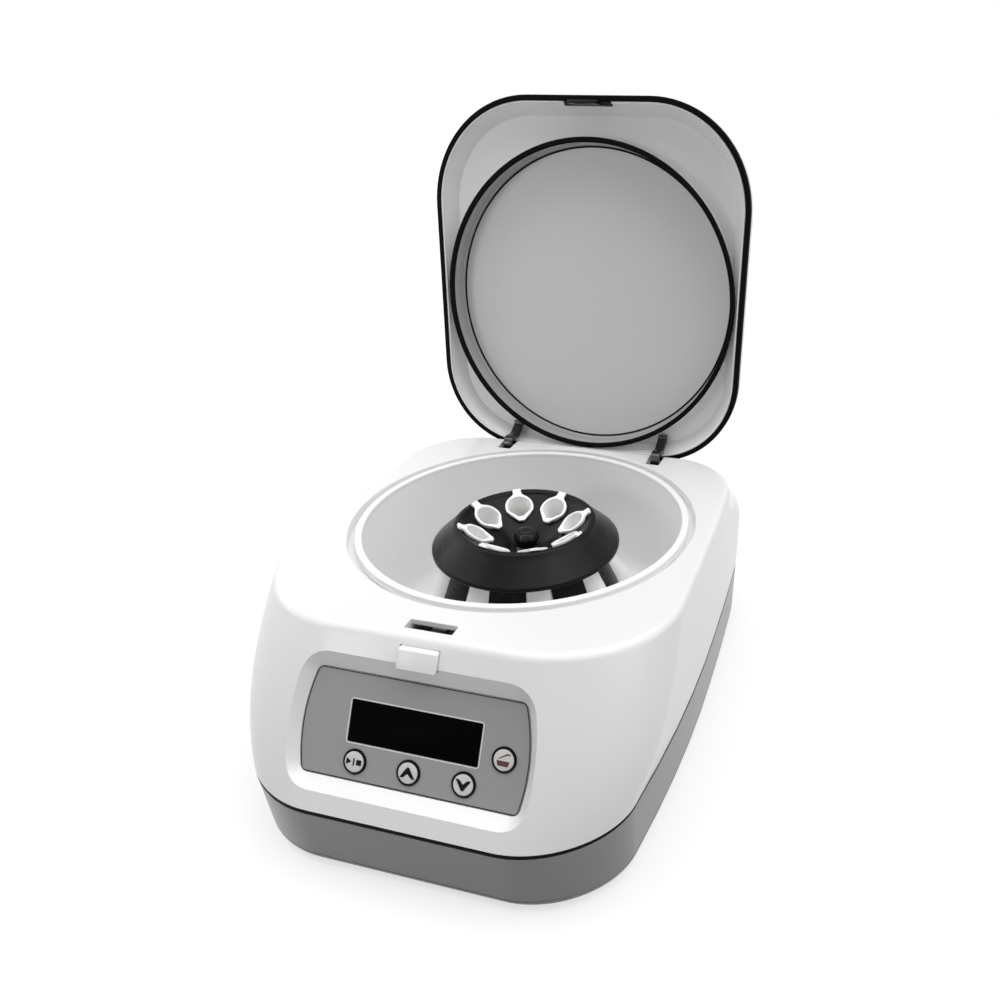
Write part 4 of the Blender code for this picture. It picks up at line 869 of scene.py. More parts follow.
def shifted_outline(points, amount):
    """An anticlockwise outline drawn in along its own normals; a negative amount lets it grow."""
    made = []
    count = len(points)
    for k in range(count):
        before, after = Vector(points[k - 1]), Vector(points[(k + 1) % count])
        along = (after - before).normalized()
        made.append((points[k][0] - along.y * amount, points[k][1] + along.x * amount))
    return made


def slab(name, plan, low, high, edge=0.0, steps=3):
    """A plan drawn out from low to high, with a rounded upper edge."""
    rings = [[(x, y, low) for x, y in plan]]
    if edge:
        for angle in quarter_turn(steps):
            inner = shifted_outline(plan, edge * (1 - math.cos(angle)))
            rings.append([(x, y, high - edge * (1 - math.sin(angle))) for x, y in inner])
    else:
        rings.append([(x, y, high) for x, y in plan])
    return drawn(name, rings)


# ---------------------------------------------------------------- outlines of the body, the panel and the lid


def upper_bottom():
    return body_sizes().parting_height + seam_gap / 2


def base_top():
    return body_sizes().parting_height - seam_gap / 2


def body_plan(front, back, half_width, corner_x, corner_y, back_corner, narrowing, inset):
    """The body's outline seen from above, with sides that bow out in the middle."""
    front, back, half_width = front - inset, back - inset, half_width - inset
    corner_x, corner_y = max(corner_x - inset, inset), max(corner_y - inset, inset)
    back_corner = max(back_corner - inset, inset)
    right = []
    for angle in quarter_turn(corner_steps):
        right.append((half_width - corner_x + corner_x * math.sin(angle),
                      -front + corner_y - corner_y * math.cos(angle)))
    start, end = -front + corner_y, back - back_corner
    right += [(half_width, mix(start, end, k / side_steps)) for k in range(1, side_steps)]
    for angle in quarter_turn(corner_steps):
        right.append((half_width - back_corner + back_corner * math.cos(angle),
                      end + back_corner * math.sin(angle)))
    bowed = []
    for x, y in right:
        reach, drawn_in = (front, narrowing) if y < 0 else (back, back_narrowing)
        bowed.append((x * (1 - drawn_in / half_width * (y / reach) ** 2), y))
    return bowed + [(-x, y) for x, y in reversed(bowed)]


def well_reach(z):
    """How far back the body reaches at a height above the parting line."""
    sizes = body_sizes()
    stations = [(0.0, 0.0)] + list(zip(well_drops, well_reaches))
    stations.append((sizes.deck_height - sizes.parting_height, sizes.parting_back - sizes.deck_back))
    return sizes.deck_back + smooth_through(stations, sizes.deck_height - z)


def body_ring(z, inset=0.0, lift=0.0):
    """One outline of the body at a height."""
    sizes = body_sizes()
    if z >= sizes.parting_height:
        share = (sizes.deck_height - z) / (sizes.deck_height - sizes.parting_height)
        swell = math.sin(math.pi * share)
        corners = [mix(a, b, share) for a, b in zip(deck_corners, joint_corners)]
        plan = body_plan(mix(sizes.deck_front, sizes.parting_front, share) + front_swell * swell,
                         well_reach(z),
                         mix(sizes.deck_half_width, sizes.parting_half_width, share) + side_swell * swell,
                         *corners, joint_narrowing * share ** 3, inset)
    else:
        share = 1 - z / sizes.parting_height
        corners = [mix(a, b, share) for a, b in zip(joint_corners, under_corners)]
        plan = body_plan(mix(sizes.parting_front, sizes.base_front, share),
                         mix(sizes.parting_back, sizes.base_back, share),
                         mix(sizes.parting_half_width, sizes.base_half_width, share),
                         *corners, mix(joint_narrowing, under_narrowing, share), inset)
    return [(x, y, z - lift) for x, y in plan]


def panel_frame():
    return Matrix.Translation((0, panel_y, panel_z)) @ Matrix.Rotation(math.radians(90) - panel_lean, 4, "X")


def panel_plan(side=0.0, top=0.0, bottom=0.0, corner=0.004):
    """The film's outline in its own plane, grown at its sides, top and bottom."""
    low, high = -panel_bottom - bottom, panel_top + top

    def edge(share):
        x = mix(panel_bottom_half, panel_top_half, share) + side
        return x + panel_bow * 4 * share * (1 - share), mix(low, high, share)

    trim = corner / (high - low)
    right = []
    for share, level, first in ((trim, 0.0, True), (1 - trim, 1.0, False)):
        bend = [(edge(level)[0] - corner, edge(level)[1]), edge(level), edge(share)]
        curve = []
        for s in (k / 10 for k in range(11)):
            weights = ((1 - s) ** 2, 2 * s * (1 - s), s * s)
            curve.append(tuple(sum(w * point[axis] for w, point in zip(weights, bend)) for axis in (0, 1)))
        right += curve if first else list(reversed(curve))
        if first:
            right += [edge(mix(trim, 1 - trim, k / 16)) for k in range(1, 16)]
    return right + [(-x, y) for x, y in reversed(right)]


def slope_point(z, offset):
    """A point (y, z) that lies a given way out from the panel's plane, at a height."""
    up = (z - panel_z - offset * math.sin(panel_lean)) / math.cos(panel_lean)
    return panel_y + up * math.sin(panel_lean) - offset * math.cos(panel_lean), z


def slope_block(name, half_width, low, high, back, front, edge=0.0):
    """A block between two heights and between two planes that lean as the panel does."""
    points = [slope_point(z, plane) for z, plane in ((low, back), (high, back), (high, front), (low, front))]
    item = drawn(name, [[(x, y, z) for y, z in points] for x in (-half_width, half_width)])
    if edge:
        bevel_all(edge, 4)
    return item


def button_heights():
    high = body_sizes().deck_height - button_top_drop
    return high - button_height, high


def lid_outline(inset, z):
    """The shut lid's outline, drawn in by an inset."""
    sizes = lid_sizes()
    half = sizes.half_width - inset
    reach = (sizes.front + sizes.back) / 2 - inset
    middle = (sizes.back - sizes.front) / 2
    corners = []
    for quarter, (sx, sy) in enumerate(((1, -1), (1, 1), (-1, 1), (-1, -1))):
        radius = max((sizes.front_corner if sy < 0 else sizes.back_corner) - inset, half / 3)
        angles = [math.radians(90) * (quarter - 1 + k / corner_steps) for k in range(corner_steps + 1)]
        corners.append([(sx * (half - radius) + radius * math.cos(angle),
                         sy * (reach - radius) + radius * math.sin(angle)) for angle in angles])
    points = []
    for corner, following in zip(corners, corners[1:] + corners[:1]):
        (ax, ay), (bx, by) = corner[-1], following[0]
        points += corner + [(mix(ax, bx, k / 6), mix(ay, by, k / 6)) for k in range(1, 6)]
    return [(x, y + middle, z) for x, y in points]


def lid_edge():
    return body_sizes().deck_height + lid_gap


def lid_turn():
    """Turns a piece made with the lid shut to where the open lid stands."""
    sizes = lid_sizes()
    hinge = Vector((0, sizes.hinge_y, body_sizes().deck_height - sizes.hinge_drop))
    return Matrix.Translation(hinge) @ Matrix.Rotation(-sizes.open_angle, 4, "X") @ Matrix.Translation(-hinge)


# ---------------------------------------------------------------- body


def housing_shell():
    """The white shell: a lofted skin with its inner wall."""
    sizes = body_sizes()
    top = sizes.deck_height
    between = {0.0035 + 0.0028 * k for k in range(29)}
    drops = sorted(set(well_drops) | between | {top - upper_bottom()}, reverse=True)
    levels = [top - drop for drop in drops if drop > deck_fillet]
    outer = [body_ring(z) for z in levels]
    for angle in quarter_turn(6):
        outer.append(body_ring(top - deck_fillet * (1 - math.sin(angle)),
                               deck_fillet * (1 - math.cos(angle))))
    outer.append(body_ring(top, deck_fillet + 0.0008))
    inner = [body_ring(levels[0], wall)] + [body_ring(z, wall, wall) for z in levels[4::4]]
    inner.append(body_ring(top, wall + deck_fillet, wall))
    return drawn("housing", list(reversed(inner)) + outer)


def chamber_cutter():
    """Cuts the chamber's opening and the groove round its rim, with a soft upper edge."""
    sizes = body_sizes()
    seat = sizes.deck_height - rim_seat - gap
    opening = sizes.chamber_radius + bowl_wall + gap
    top = sizes.deck_height
    soft = 0.0007
    bottom = seat - wall - overrun
    line = [(0, bottom), (opening, bottom), (opening, seat), (sizes.moat_radius, seat),
            (sizes.moat_radius, top - soft)]
    line += [(sizes.moat_radius + soft * (1 - math.cos(a)), top - soft * (1 - math.sin(a)))
             for a in quarter_turn(4, 1)]
    line += [(sizes.moat_radius + soft, top + overrun), (0, top + overrun)]
    return turned("chamber_cutter", line)


def collar():
    """The ring wall that closes the shell round the groove."""
    sizes = body_sizes()
    seat = sizes.deck_height - rim_seat - gap
    inner, outer = sizes.chamber_radius + bowl_wall + gap, sizes.moat_radius + wall
    low, high = seat - wall, sizes.deck_height - wall / 2
    return turned("collar", [(inner, low), (outer, low), (outer, high), (inner, high)])


def soft_slot(name, half_x, y_low, y_high, low, high, soft=0.0006):
    """A cutter for a slot in the deck, with round ends in plan and a flared upper edge."""
    top = body_sizes().deck_height
    plan = rounded_line([(-half_x, y_low), (half_x, y_low), (half_x, y_high), (-half_x, y_high)], 0.001, 4)
    rings = [[(x, y, low) for x, y in plan], [(x, y, top - soft) for x, y in plan]]
    for angle in quarter_turn(3, 1):
        grown = shifted_outline(plan, -soft * (1 - math.cos(angle)))
        rings.append([(x, y, top - soft * (1 - math.sin(angle))) for x, y in grown])
    rings.append([(x, y, high) for x, y in shifted_outline(plan, -soft)])
    return drawn(name, rings)


def recess_cutter():
    """Cuts the film's seat and the sloped border round it."""
    flat = panel_plan(gap, gap, gap)
    wide = panel_plan(recess_side, recess_top, recess_bottom, recess_corner)
    rings = [[(x, y, -panel_thickness - gap) for x, y in flat], [(x, y, 0) for x, y in flat]]
    for share in (0.25, 0.5, 0.75, 1.0, 1.25, 1.5, 2.0):
        rings.append([(mix(a, c, share), mix(b, d, share), recess_depth * share)
                      for (a, b), (c, d) in zip(flat, wide)])
    return put(drawn("recess_cutter", rings), panel_frame())


def panel_tray():
    """The tray behind the panel that closes the shell where the recess cuts through it."""
    small = panel_plan(0.003, 0.003, 0.003, recess_corner / 2)
    large = panel_plan(0.003 + recess_side, 0.003 + recess_top / 2, 0.003 + recess_bottom, recess_corner)
    low = -panel_thickness - gap - 0.003
    rings = [[(x, y, low) for x, y in small], [(x, y, 0) for x, y in small],
             [(x, y, recess_depth - wall / 2) for x, y in large]]
    return put(drawn("panel_tray", rings), panel_frame())


class CENTRIFUGE_OT_housing(Operator):
    """Build the white housing with its chamber opening, slot, notches, panel recess and louvres."""

    bl_idname = "centrifuge.housing"
    bl_label = "Housing"

    def execute(self, context):
        sizes = body_sizes()
        top = sizes.deck_height
        shell = housing_shell()
        low, high = button_heights()
        back = recess_depth - button_sunk - 0.002 - gap
        joined = [collar(), panel_tray(),
                  slope_block("button_seat", button_half_width + wall, low - wall, top - wall / 2,
                              back - wall, recess_depth - wall / 2)]
        for side in (-1, 1):
            x = side * arm_x
            half = notch_half_width + knuckle_width
            joined.append(boxed("knuckle", (x - half, knuckle_front, top - knuckle_depth),
                                (x + half, sizes.deck_back - gap, top - wall / 2)))
        carve(shell, joined, "UNION")
        cutters = [chamber_cutter(),
                   soft_slot("latch_slot", slot_half_width, -slot_front, -slot_back, top - wall - 0.002,
                             top + overrun)]
        for side in (-1, 1):
            x = side * arm_x
            notch = soft_slot("notch", notch_half_width, notch_front, sizes.deck_back + overrun,
                              top - notch_depth, top + overrun, 0.0004)
            cutters.append(put(notch, Matrix.Translation((x, 0, 0))))
        cutters.append(recess_cutter())
        cutters.append(slope_block("button_pocket", button_half_width + gap, low - gap, high + gap, back,
                                   recess_depth + overrun))
        for k in range(7):
            x = (k - 3) * 0.0085
            cutters.append(boxed("louvre", (x - 0.0016, sizes.deck_back + 0.044, 0.055),
                                 (x + 0.0016, sizes.parting_back + overrun, 0.077), 0.0012, 4))
        carve(shell, cutters)
        dress(shell, "Housing plastic", "base", ["upper_housing"], 28, even=True)
        return {"FINISHED"}


class CENTRIFUGE_OT_base(Operator):
    """Build the grey base with its vents, the black seam line, the feet and the screws under it."""

    bl_idname = "centrifuge.base"
    bl_label = "Base, seam and feet"

    def execute(self, context):
        sizes = body_sizes()
        outer = []
        for angle in quarter_turn(6):
            outer.append(body_ring(base_fillet * (1 - math.cos(angle)), base_fillet * (1 - math.sin(angle))))
        outer += [body_ring(base_fillet + z, inset)
                  for z, inset in ((0.0006, 0.0), (0.0008, 0.0004), (0.0014, 0.0004), (0.0016, 0.0))]
        lip = base_top() - seal_lip
        outer += [body_ring(mix(base_fillet + 0.0016, lip - 0.0002, k / 6)) for k in range(1, 7)]
        outer += [body_ring(lip, 0.0002), body_ring(lip, 0.0008), body_ring(base_top(), 0.0008)]
        inner = [body_ring(wall, wall + base_fillet / 2), body_ring(2 * wall, wall),
                 body_ring(base_top(), wall)]
        under = [body_ring(0.0, base_fillet + 0.001)]
        tray = drawn("base_shell", inner + list(reversed(outer)) + under)
        cutters = []
        for side in (-1, 1):
            for k in range(5):
                x = (k - 2) * 0.008
                cutters.append(boxed("vent", (x - 0.0015, side * 0.078 - 0.022, -overrun),
                                     (x + 0.0015, side * 0.078 + 0.022, 0.007)))
        for x, (half_x, half_z) in ((inlet_x, inlet_half), (switch_x, switch_half)):
            cutters.append(boxed("back_hole", (x - half_x - gap, 0.155, inlet_z - half_z - gap),
                                 (x + half_x + gap, sizes.parting_back + overrun, inlet_z + half_z + gap)))
        carve(tray, cutters)
        dress(tray, "Base plastic", "base", ["base_tray"], 28, even=True)

        low, high = base_top() + gap / 2, upper_bottom() - gap / 2
        lip = base_top() - seal_lip + gap / 2
        line = [(0.0007, lip), (0.0004, lip), (0.0002, lip + 0.0002), (0.0002, high - 0.0002), (0.0004, high),
                (wall, high), (wall, low), (0.0007, low)]
        rings = [body_ring(min(z, sizes.parting_height), inset) for inset, z in line]
        rings = [[(x, y, line[k][1]) for x, y, _ in ring] for k, ring in enumerate(rings)]
        dress(drawn("seam_line", rings, hoop=True), "Seal rubber", "base", ["seam_gasket"])

        sole = -sizes.foot_height
        profile = [(0, sole), (0.0060, sole), (0.0066, sole + 0.0004), (0.0068, sole + 0.0004)]
        profile += arc((0.0076, sole + 0.0012), 0.0012, 270, 360, 4)
        profile += [(0.0096, -0.0008), (0.0098, -gap), (0.0098, 0.0004), (0, 0.0004)]
        first = turned("foot", profile, 48)
        for name, x, y in (("front_left", -0.088, -0.130), ("front_right", 0.088, -0.130),
                           ("back_left", -0.088, 0.125), ("back_right", 0.088, 0.125)):
            foot = copied(first, f"rubber_{name}", Matrix.Translation((x, y, 0)))
            dress(foot, "Foot rubber", "base", [f"foot_{name}"])
        drop(first)

        head = turned("screw", [(0, -0.0001), (0.0007, -0.0001), (0.0009, -0.0009), (0.0027, -0.0007),
                                (0.0032, -0.0003), (0.0033, 0.0003), (0, 0.0003)], 32)
        for name, x, y in (("front_left", -0.087, -0.105), ("front_right", 0.087, -0.105),
                           ("back_left", -0.090, 0.092), ("back_right", 0.090, 0.092)):
            dress(copied(head, f"base_screw_{name}", Matrix.Translation((x, y, 0))), "Turned steel", "base")
        drop(head)
        return {"FINISHED"}


class CENTRIFUGE_OT_chamber(Operator):
    """Build the drawn chamber bowl with its rolled rim and raised middle."""

    bl_idname = "centrifuge.chamber"
    bl_label = "Chamber bowl"

    def execute(self, context):
        sizes = body_sizes()
        r, top, floor = sizes.chamber_radius, sizes.deck_height, sizes.bowl_floor
        soft = 0.0010
        line = arc((r + soft, top - soft), soft, 90, 180, 5)
        line += [(r, top - 0.006), (r - 0.0001, top - 0.03)]
        line += arc((r - 0.012, floor + 0.012), 0.012, 0, -90, 10)
        line += arc((0.040, floor + 0.004), 0.004, 270, 180, 5)
        line += arc((0.032, 0.060), 0.004, 0, 90, 5)
        line += [(0.010, 0.064), (0.010, 0.062), (0.032, 0.062), (0.034, 0.060), (0.034, floor - bowl_wall)]
        line += [(r - 0.012, floor - bowl_wall)] + arc((r - 0.012, floor + 0.012), 0.014, -90, 0, 8)[1:]
        line += [(r + bowl_wall, top - rim_seat), (sizes.rim_radius - 0.0006, top - rim_seat)]
        line += [(sizes.rim_radius, top - 0.0050)]
        line += arc((sizes.rim_radius - soft, top - soft), soft, 0, 90, 5)
        bowl = turned("chamber", line, 192)
        dress(bowl, "Chamber coating", "base", ["chamber_bowl"], 40)
        return {"FINISHED"}


# ---------------------------------------------------------------- rotor


def tube_frame(number):
    """Where a sleeve stands: its Z runs up the tube, its Y runs outwards along the mouth."""
    sizes = rotor_sizes()
    spin = Matrix.Rotation(math.radians(30 - 90) + math.tau * number / sizes.tube_count, 4, "Z")
    place = Matrix.Translation((0, sizes.mouth_radius, body_sizes().deck_height - sizes.mouth_drop))
    return spin @ place @ Matrix.Rotation(sizes.tube_angle, 4, "X")


def mouth_plan():
    """The lemon outline of a sleeve's mouth: round sides, a blunt inner tip and an outer lifting tab."""
    r = 0.0094
    right = [(0.0028, 0.0138), (0.0028, r + 0.0006)]
    start, end = math.asin(0.0028 / r) + math.radians(12), math.radians(112)
    right += [(r * math.sin(a), r * math.cos(a)) for a in (mix(start, end, k / 14) for k in range(15))]
    right.append((0.0018, -0.0110))
    closed = right + [(-x, y) for x, y in reversed(right)]
    return list(reversed(rounded_line(closed, 0.0007, 3)))


def mouth_height(radius, below):
    sizes = rotor_sizes()
    drop = sizes.mouth_drop + below / math.cos(sizes.tube_angle)
    return body_sizes().deck_height - drop + (radius - sizes.mouth_radius) * math.tan(sizes.tube_angle)


class CENTRIFUGE_OT_rotor(Operator):
    """Build the turned eight-place angle rotor and bore it for its sleeves."""

    bl_idname = "centrifuge.rotor"
    bl_label = "Rotor"

    def execute(self, context):
        sizes = rotor_sizes()
        top = body_sizes().deck_height
        flange = 0.0094
        relief = (math.hypot(sizes.mouth_radius, flange) - sizes.mouth_radius) * math.sin(sizes.tube_angle)
        seat = 0.0015 + gap + relief
        lip_top = top - 0.0023
        lip_in, lip_out = 0.0403, sizes.lip_radius
        skirt, skirt_z = sizes.skirt_radius, top - sizes.skirt_drop
        bore = 0.004 + gap
        line = [(bore, top - dish_drop), (0.0112, top - dish_drop), (0.0118, top - 0.0237),
                (0.0160, mouth_height(0.0160, seat)), (lip_in - 0.0006, mouth_height(lip_in - 0.0006, seat)),
                (lip_in, mouth_height(lip_in, seat) + 0.0006)]
        line += [(lip_in, lip_top - 0.0022)] + arc((lip_in + 0.0020, lip_top - 0.0020), 0.0020, 180, 90, 6)
        line += arc((lip_out - 0.0017, lip_top - 0.0017), 0.0017, 90, 28, 5)
        line += [(lip_out + 0.0022, lip_top - 0.0038)]
        line += arc((skirt - 0.0016, skirt_z + 0.0024), 0.0016, 30, 0, 3)
        line += arc((skirt - 0.0010, skirt_z + 0.0010), 0.0010, 0, -90, 4)
        line += [(skirt - 0.0028, skirt_z), (0.0432, top - 0.0130), (0.0430, top - 0.0134)]
        line += [(0.0586, top - 0.0508), (0.0590, top - 0.0516), (0.0585, top - 0.0522)]
        line += [(0.045, top - 0.0535), (0.022, top - 0.028), (0.0125, top - 0.028), (0.0125, top - 0.0555),
                 (0.0120, top - 0.056), (bore, top - 0.056)]
        rotor = turned("rotor", line, 160)
        borers = []
        first = rod("borer", sizes.sleeve_radius + gap, -sizes.sleeve_length - overrun, overrun, 48)
        for number in range(sizes.tube_count):
            borers.append(copied(first, "borer", tube_frame(number)))
        drop(first)
        carve(rotor, borers)
        dress(rotor, "Rotor anodising", "rotor", ["rotor_body"], 32, even=True)
        return {"FINISHED"}


class CENTRIFUGE_OT_sleeves(Operator):
    """Build one tube sleeve with its lemon mouth and copy it to every place of the rotor."""

    bl_idname = "centrifuge.sleeves"
    bl_label = "Tube sleeves"

    def execute(self, context):
        sizes = rotor_sizes()
        r, bore, long = sizes.sleeve_radius, sizes.sleeve_bore, sizes.sleeve_length
        outside = arc((0, -long + r), r, 270, 360, 9)
        outside[0] = (0, -long)
        inside = arc((0, -long + r), bore, 360, 270, 9)
        inside[-1] = (0, -long + r - bore)
        wall_tube = turned("sleeve", outside + [(r, -0.0010), (bore, -0.0010)] + inside, 56)
        plan = mouth_plan()
        soft = 0.0004

        def round_mouth(radius, z):
            angles = (math.atan2(y, x) for x, y in plan)
            return [(radius * math.cos(a), radius * math.sin(a), z) for a in angles]

        rings = [round_mouth(bore, -0.0014), round_mouth(bore, -soft),
                 round_mouth(bore + 0.3 * soft, -0.3 * soft), round_mouth(bore + soft, 0)]
        for angle in quarter_turn(3):
            rings.append([(x, y, -soft * (1 - math.cos(angle)))
                          for x, y in shifted_outline(plan, soft * (1 - math.sin(angle)))])
        rings.append([(x, y, -0.0015) for x, y in plan])
        tube = join_up("sleeve", [wall_tube, drawn("mouth", rings, hoop=True)])
        for number in range(sizes.tube_count):
            name = f"sleeve_{number + 1}"
            item = copied(tube, name, tube_frame(number))
            dress(item, "Sleeve plastic", "rotor", [f"tube_sleeve_{number + 1}"], 34, even=True)
        drop(tube)
        return {"FINISHED"}


class CENTRIFUGE_OT_nut(Operator):
    """Build the dark nut that holds the rotor on its shaft."""

    bl_idname = "centrifuge.nut"
    bl_label = "Rotor nut"

    def execute(self, context):
        seat = body_sizes().deck_height - dish_drop + gap
        crown = seat + 0.009
        line = [(0.0043, seat), (0.0078, seat)] + arc((0.0078, seat + 0.0004), 0.0004, 270, 360, 2)[1:]
        line += [(0.0082, seat + 0.0020), (0.0066, seat + 0.0034), (0.0064, seat + 0.0042),
                 (0.0068, seat + 0.0052), (0.0080, crown - 0.0008), (0.0082, crown - 0.0001),
                 (0.0078, crown + 0.0012), (0.0064, crown + 0.0038), (0.0052, crown + 0.0042),
                 (0.0020, crown + 0.0040), (0, crown + 0.0036), (0, crown - 0.0016), (0.0043, crown - 0.0016)]
        nut = turned("hub_nut", line, 64)
        flutes = []
        for k in range(6):
            angle = math.tau * k / 6
            flute = rod("flute", 0.0013, seat - 0.001, crown + 0.006, 16)
            place = (0.0090 * math.cos(angle), 0.0090 * math.sin(angle), 0)
            flutes.append(put(flute, Matrix.Translation(place)))
        carve(nut, flutes)
        dress(nut, "Nut black", "rotor", ["rotor_nut"], 30)
        return {"FINISHED"}


# ---------------------------------------------------------------- lid


def cover_outlines(inset_more, drop):
    rises = (0.0, 0.0083, 0.0133, 0.0173, 0.0208, 0.0238, 0.0248)
    insets = (0.0, 0.0003, 0.0015, 0.0045, 0.0110, 0.0300, 0.0600)
    low = lid_edge() + lid_sizes().trim_height + gap
    made = []
    for k in range(25):
        t = 6 * k / 24
        inset = smooth_through(list(enumerate(insets)), t)
        rise = smooth_through(list(enumerate(rises)), t)
        made.append(lid_outline(inset + inset_more, low + max(rise - drop, 0.0) if k else low))
    return made


class CENTRIFUGE_OT_lid_shell(Operator):
    """Build the lid's white outer shell and the black trim round its edge."""

    bl_idname = "centrifuge.lid_shell"
    bl_label = "Lid shell and trim"

    def execute(self, context):
        outer = cover_outlines(0.0, 0.0)
        width, height = lid_sizes().trim_width, lid_sizes().trim_height
        low = lid_edge() + height + gap
        inner = [lid_outline(cover_wall, low)] + cover_outlines(cover_wall, cover_wall)[6::3]
        cover = put(drawn("lid_shell", list(reversed(inner)) + outer), lid_turn())
        dress(cover, "Housing plastic", "lid", ["lid_cover"], 40, even=True)
        edge = lid_edge()
        soft = 0.0009
        line = [(width, edge), (soft, edge)]
        line += [(soft * (1 - math.sin(a)), edge + soft * (1 - math.cos(a))) for a in quarter_turn(4, 1)]
        line += [(0.0, edge + height - 0.0004), (0.0004, edge + height), (width, edge + height)]
        rings = [lid_outline(inset, z) for inset, z in line]
        trim = put(drawn("lid_trim", rings, hoop=True), lid_turn())
        dress(trim, "Seal rubber", "lid", ["lid_edge_trim"], 40)
        return {"FINISHED"}


class CENTRIFUGE_OT_lid_tray(Operator):
    """Build the grey tray under the lid, the ring wall with its disc, and the black ring seal."""

    bl_idname = "centrifuge.lid_tray"
    bl_label = "Lid tray, ring and seal"

    def execute(self, context):
        sizes = lid_sizes()
        edge = lid_edge()
        floor = edge + sizes.tray_depth
        start = sizes.trim_width + gap
        side = start + 0.0012
        border = 0.0078
        rim = edge + gap
        hole = sizes.ring_radius - 0.0012

        def round_hole(z):
            angles = (math.atan2(y, x) for x, y, _ in lid_outline(side + border, z))
            return [(hole * math.cos(angle), hole * math.sin(angle), z) for angle in angles]

        def outside_ring(inset, z, radius):
            """The lid's outline, kept outside a circle round the rotor's axis."""
            made = []
            for x, y, _ in lid_outline(inset, z):
                grow = max(1.0, radius / math.hypot(x, y))
                made.append((x * grow, y * grow, z))
            return made

        line = [(side + border + 0.0012, floor)]
        line += [(side + border - 0.0010, floor - 0.0004), (side + border * 0.80, floor - 0.0019)]
        line += [(side + border * 0.20, edge + 0.0044), (side + 0.0006, edge + 0.0034), (side, edge + 0.0026),
                 (side, rim + 0.0003), (side - 0.0003, rim), (start + 0.0003, rim), (start, rim + 0.0003),
                 (start, edge + sizes.trim_height)]
        skin = 0.0018
        upper = [(side, edge + sizes.trim_height + skin), (side + border / 2, floor),
                 (side + border, floor + skin)]
        rings = [round_hole(floor)] + [outside_ring(inset, z, hole + 0.0002) for inset, z in line]
        rings += [outside_ring(inset, z, hole + 0.0008) for inset, z in upper] + [round_hole(floor + skin)]
        tray = drawn("lid_tray", rings, hoop=True)
        half = striker_half_depth + gap
        room = boxed("striker_room", (-striker_half_width - gap, -sizes.front - overrun, edge - overrun),
                     (striker_half_width + gap, striker_y + half, edge + sizes.trim_height + 2 * gap))
        carve(tray, [room])
        put(tray, lid_turn())
        dress(tray, "Tray plastic", "lid", ["lid_liner"], 34, even=True)

        low = edge + 0.0022 + gap
        outer, inner = sizes.ring_radius, sizes.ring_radius - 0.0024
        disc = edge + sizes.disc_depth
        wall_line = [(inner, low), (outer, low), (outer, floor + 0.0012), (outer - 0.0006, disc + 0.0018),
                     (0, disc + 0.0018), (0, disc), (inner - 0.0030, disc), (inner - 0.0026, disc + 0.0004),
                     (inner - 0.0008, disc + 0.0004), (inner, disc - 0.0004)]
        ring = put(turned("lid_ring", wall_line, 192), lid_turn())
        dress(ring, "Disc plastic", "lid", angle=34)
        # Painted shade: a darker grey sheet over the ring wall's inner face stands in for the shade that falls
        # on that face.
        face = inner - 0.0004
        wall_shade_line = [(inner, low + 0.0004), (inner, disc + 0.0004), (inner - 0.0016, disc + 0.0004),
                       (inner - 0.0018, disc + 0.0001), (inner - 0.0014, disc - 0.0005),
                       (face, disc - 0.0012), (face, low + 0.0006)]
        wall_shade = put(turned("ring_wall_painted_shade", wall_shade_line, 192), lid_turn())
        dress(wall_shade, "Ring wall painted shade", "lid", angle=34)
        # Painted shadow: a black rubber bead round the disc's edge stands in for the dark shadow line there.
        half_round = arc((0, disc + 0.0001), 0.0006, 180, 360, 8)
        shadow_bead = turned("disc_edge_painted_shadow", [(inner - 0.0026 + x, z) for x, z in half_round], 192)
        dress(put(shadow_bead, lid_turn()), "Seal rubber", "lid", angle=50)

        bottom = body_sizes().deck_height + gap
        high = edge + 0.0022
        seal_in, seal_out = inner - 0.0005, outer + 0.0005
        seal_line = arc((seal_in + 0.0008, bottom + 0.0008), 0.0008, 180, 270, 4)
        seal_line += arc((seal_out - 0.0008, bottom + 0.0008), 0.0008, 270, 360, 4)
        seal_line += [(seal_out, high), (seal_in, high)]
        seal = put(turned("ring_seal", seal_line, 192), lid_turn())
        dress(seal, "Seal rubber", "lid", ["lid_ring_gasket"])
        return {"FINISHED"}


def arm_sections(x):
    """Rounded sections of a gooseneck, along a smooth line through its bends."""
    top = body_sizes().deck_height
    path = [Vector((y, top - drop)) for y, drop in zip(arm_line_ys, arm_line_drops)]
    padded = [path[0] * 2 - path[1]] + path + [path[-1] * 2 - path[-2]]
    line = []
    for k in range(len(path) - 1):
        a, b, c, d = padded[k:k + 4]
        for s in range(6):
            t = s / 6
            line.append(0.5 * (b * 2 + (c - a) * t + (a * 2 - b * 5 + c * 4 - d) * t ** 2
                               + (b * 3 - a - c * 3 + d) * t ** 3))
    line.append(path[-1])
    half = arm_half_width
    plan = rounded_line([(-half, -0.002), (half, -0.002), (half, 0.002), (-half, 0.002)], 0.0008, 3)
    rings = []
    for k, point in enumerate(line):
        along = (line[min(k + 1, len(line) - 1)] - line[max(k - 1, 0)]).normalized()
        across = Vector((-along.y, along.x))
        rings.append([(x + a, point.x + across.x * b, point.y + across.y * b) for a, b in plan])
    return rings


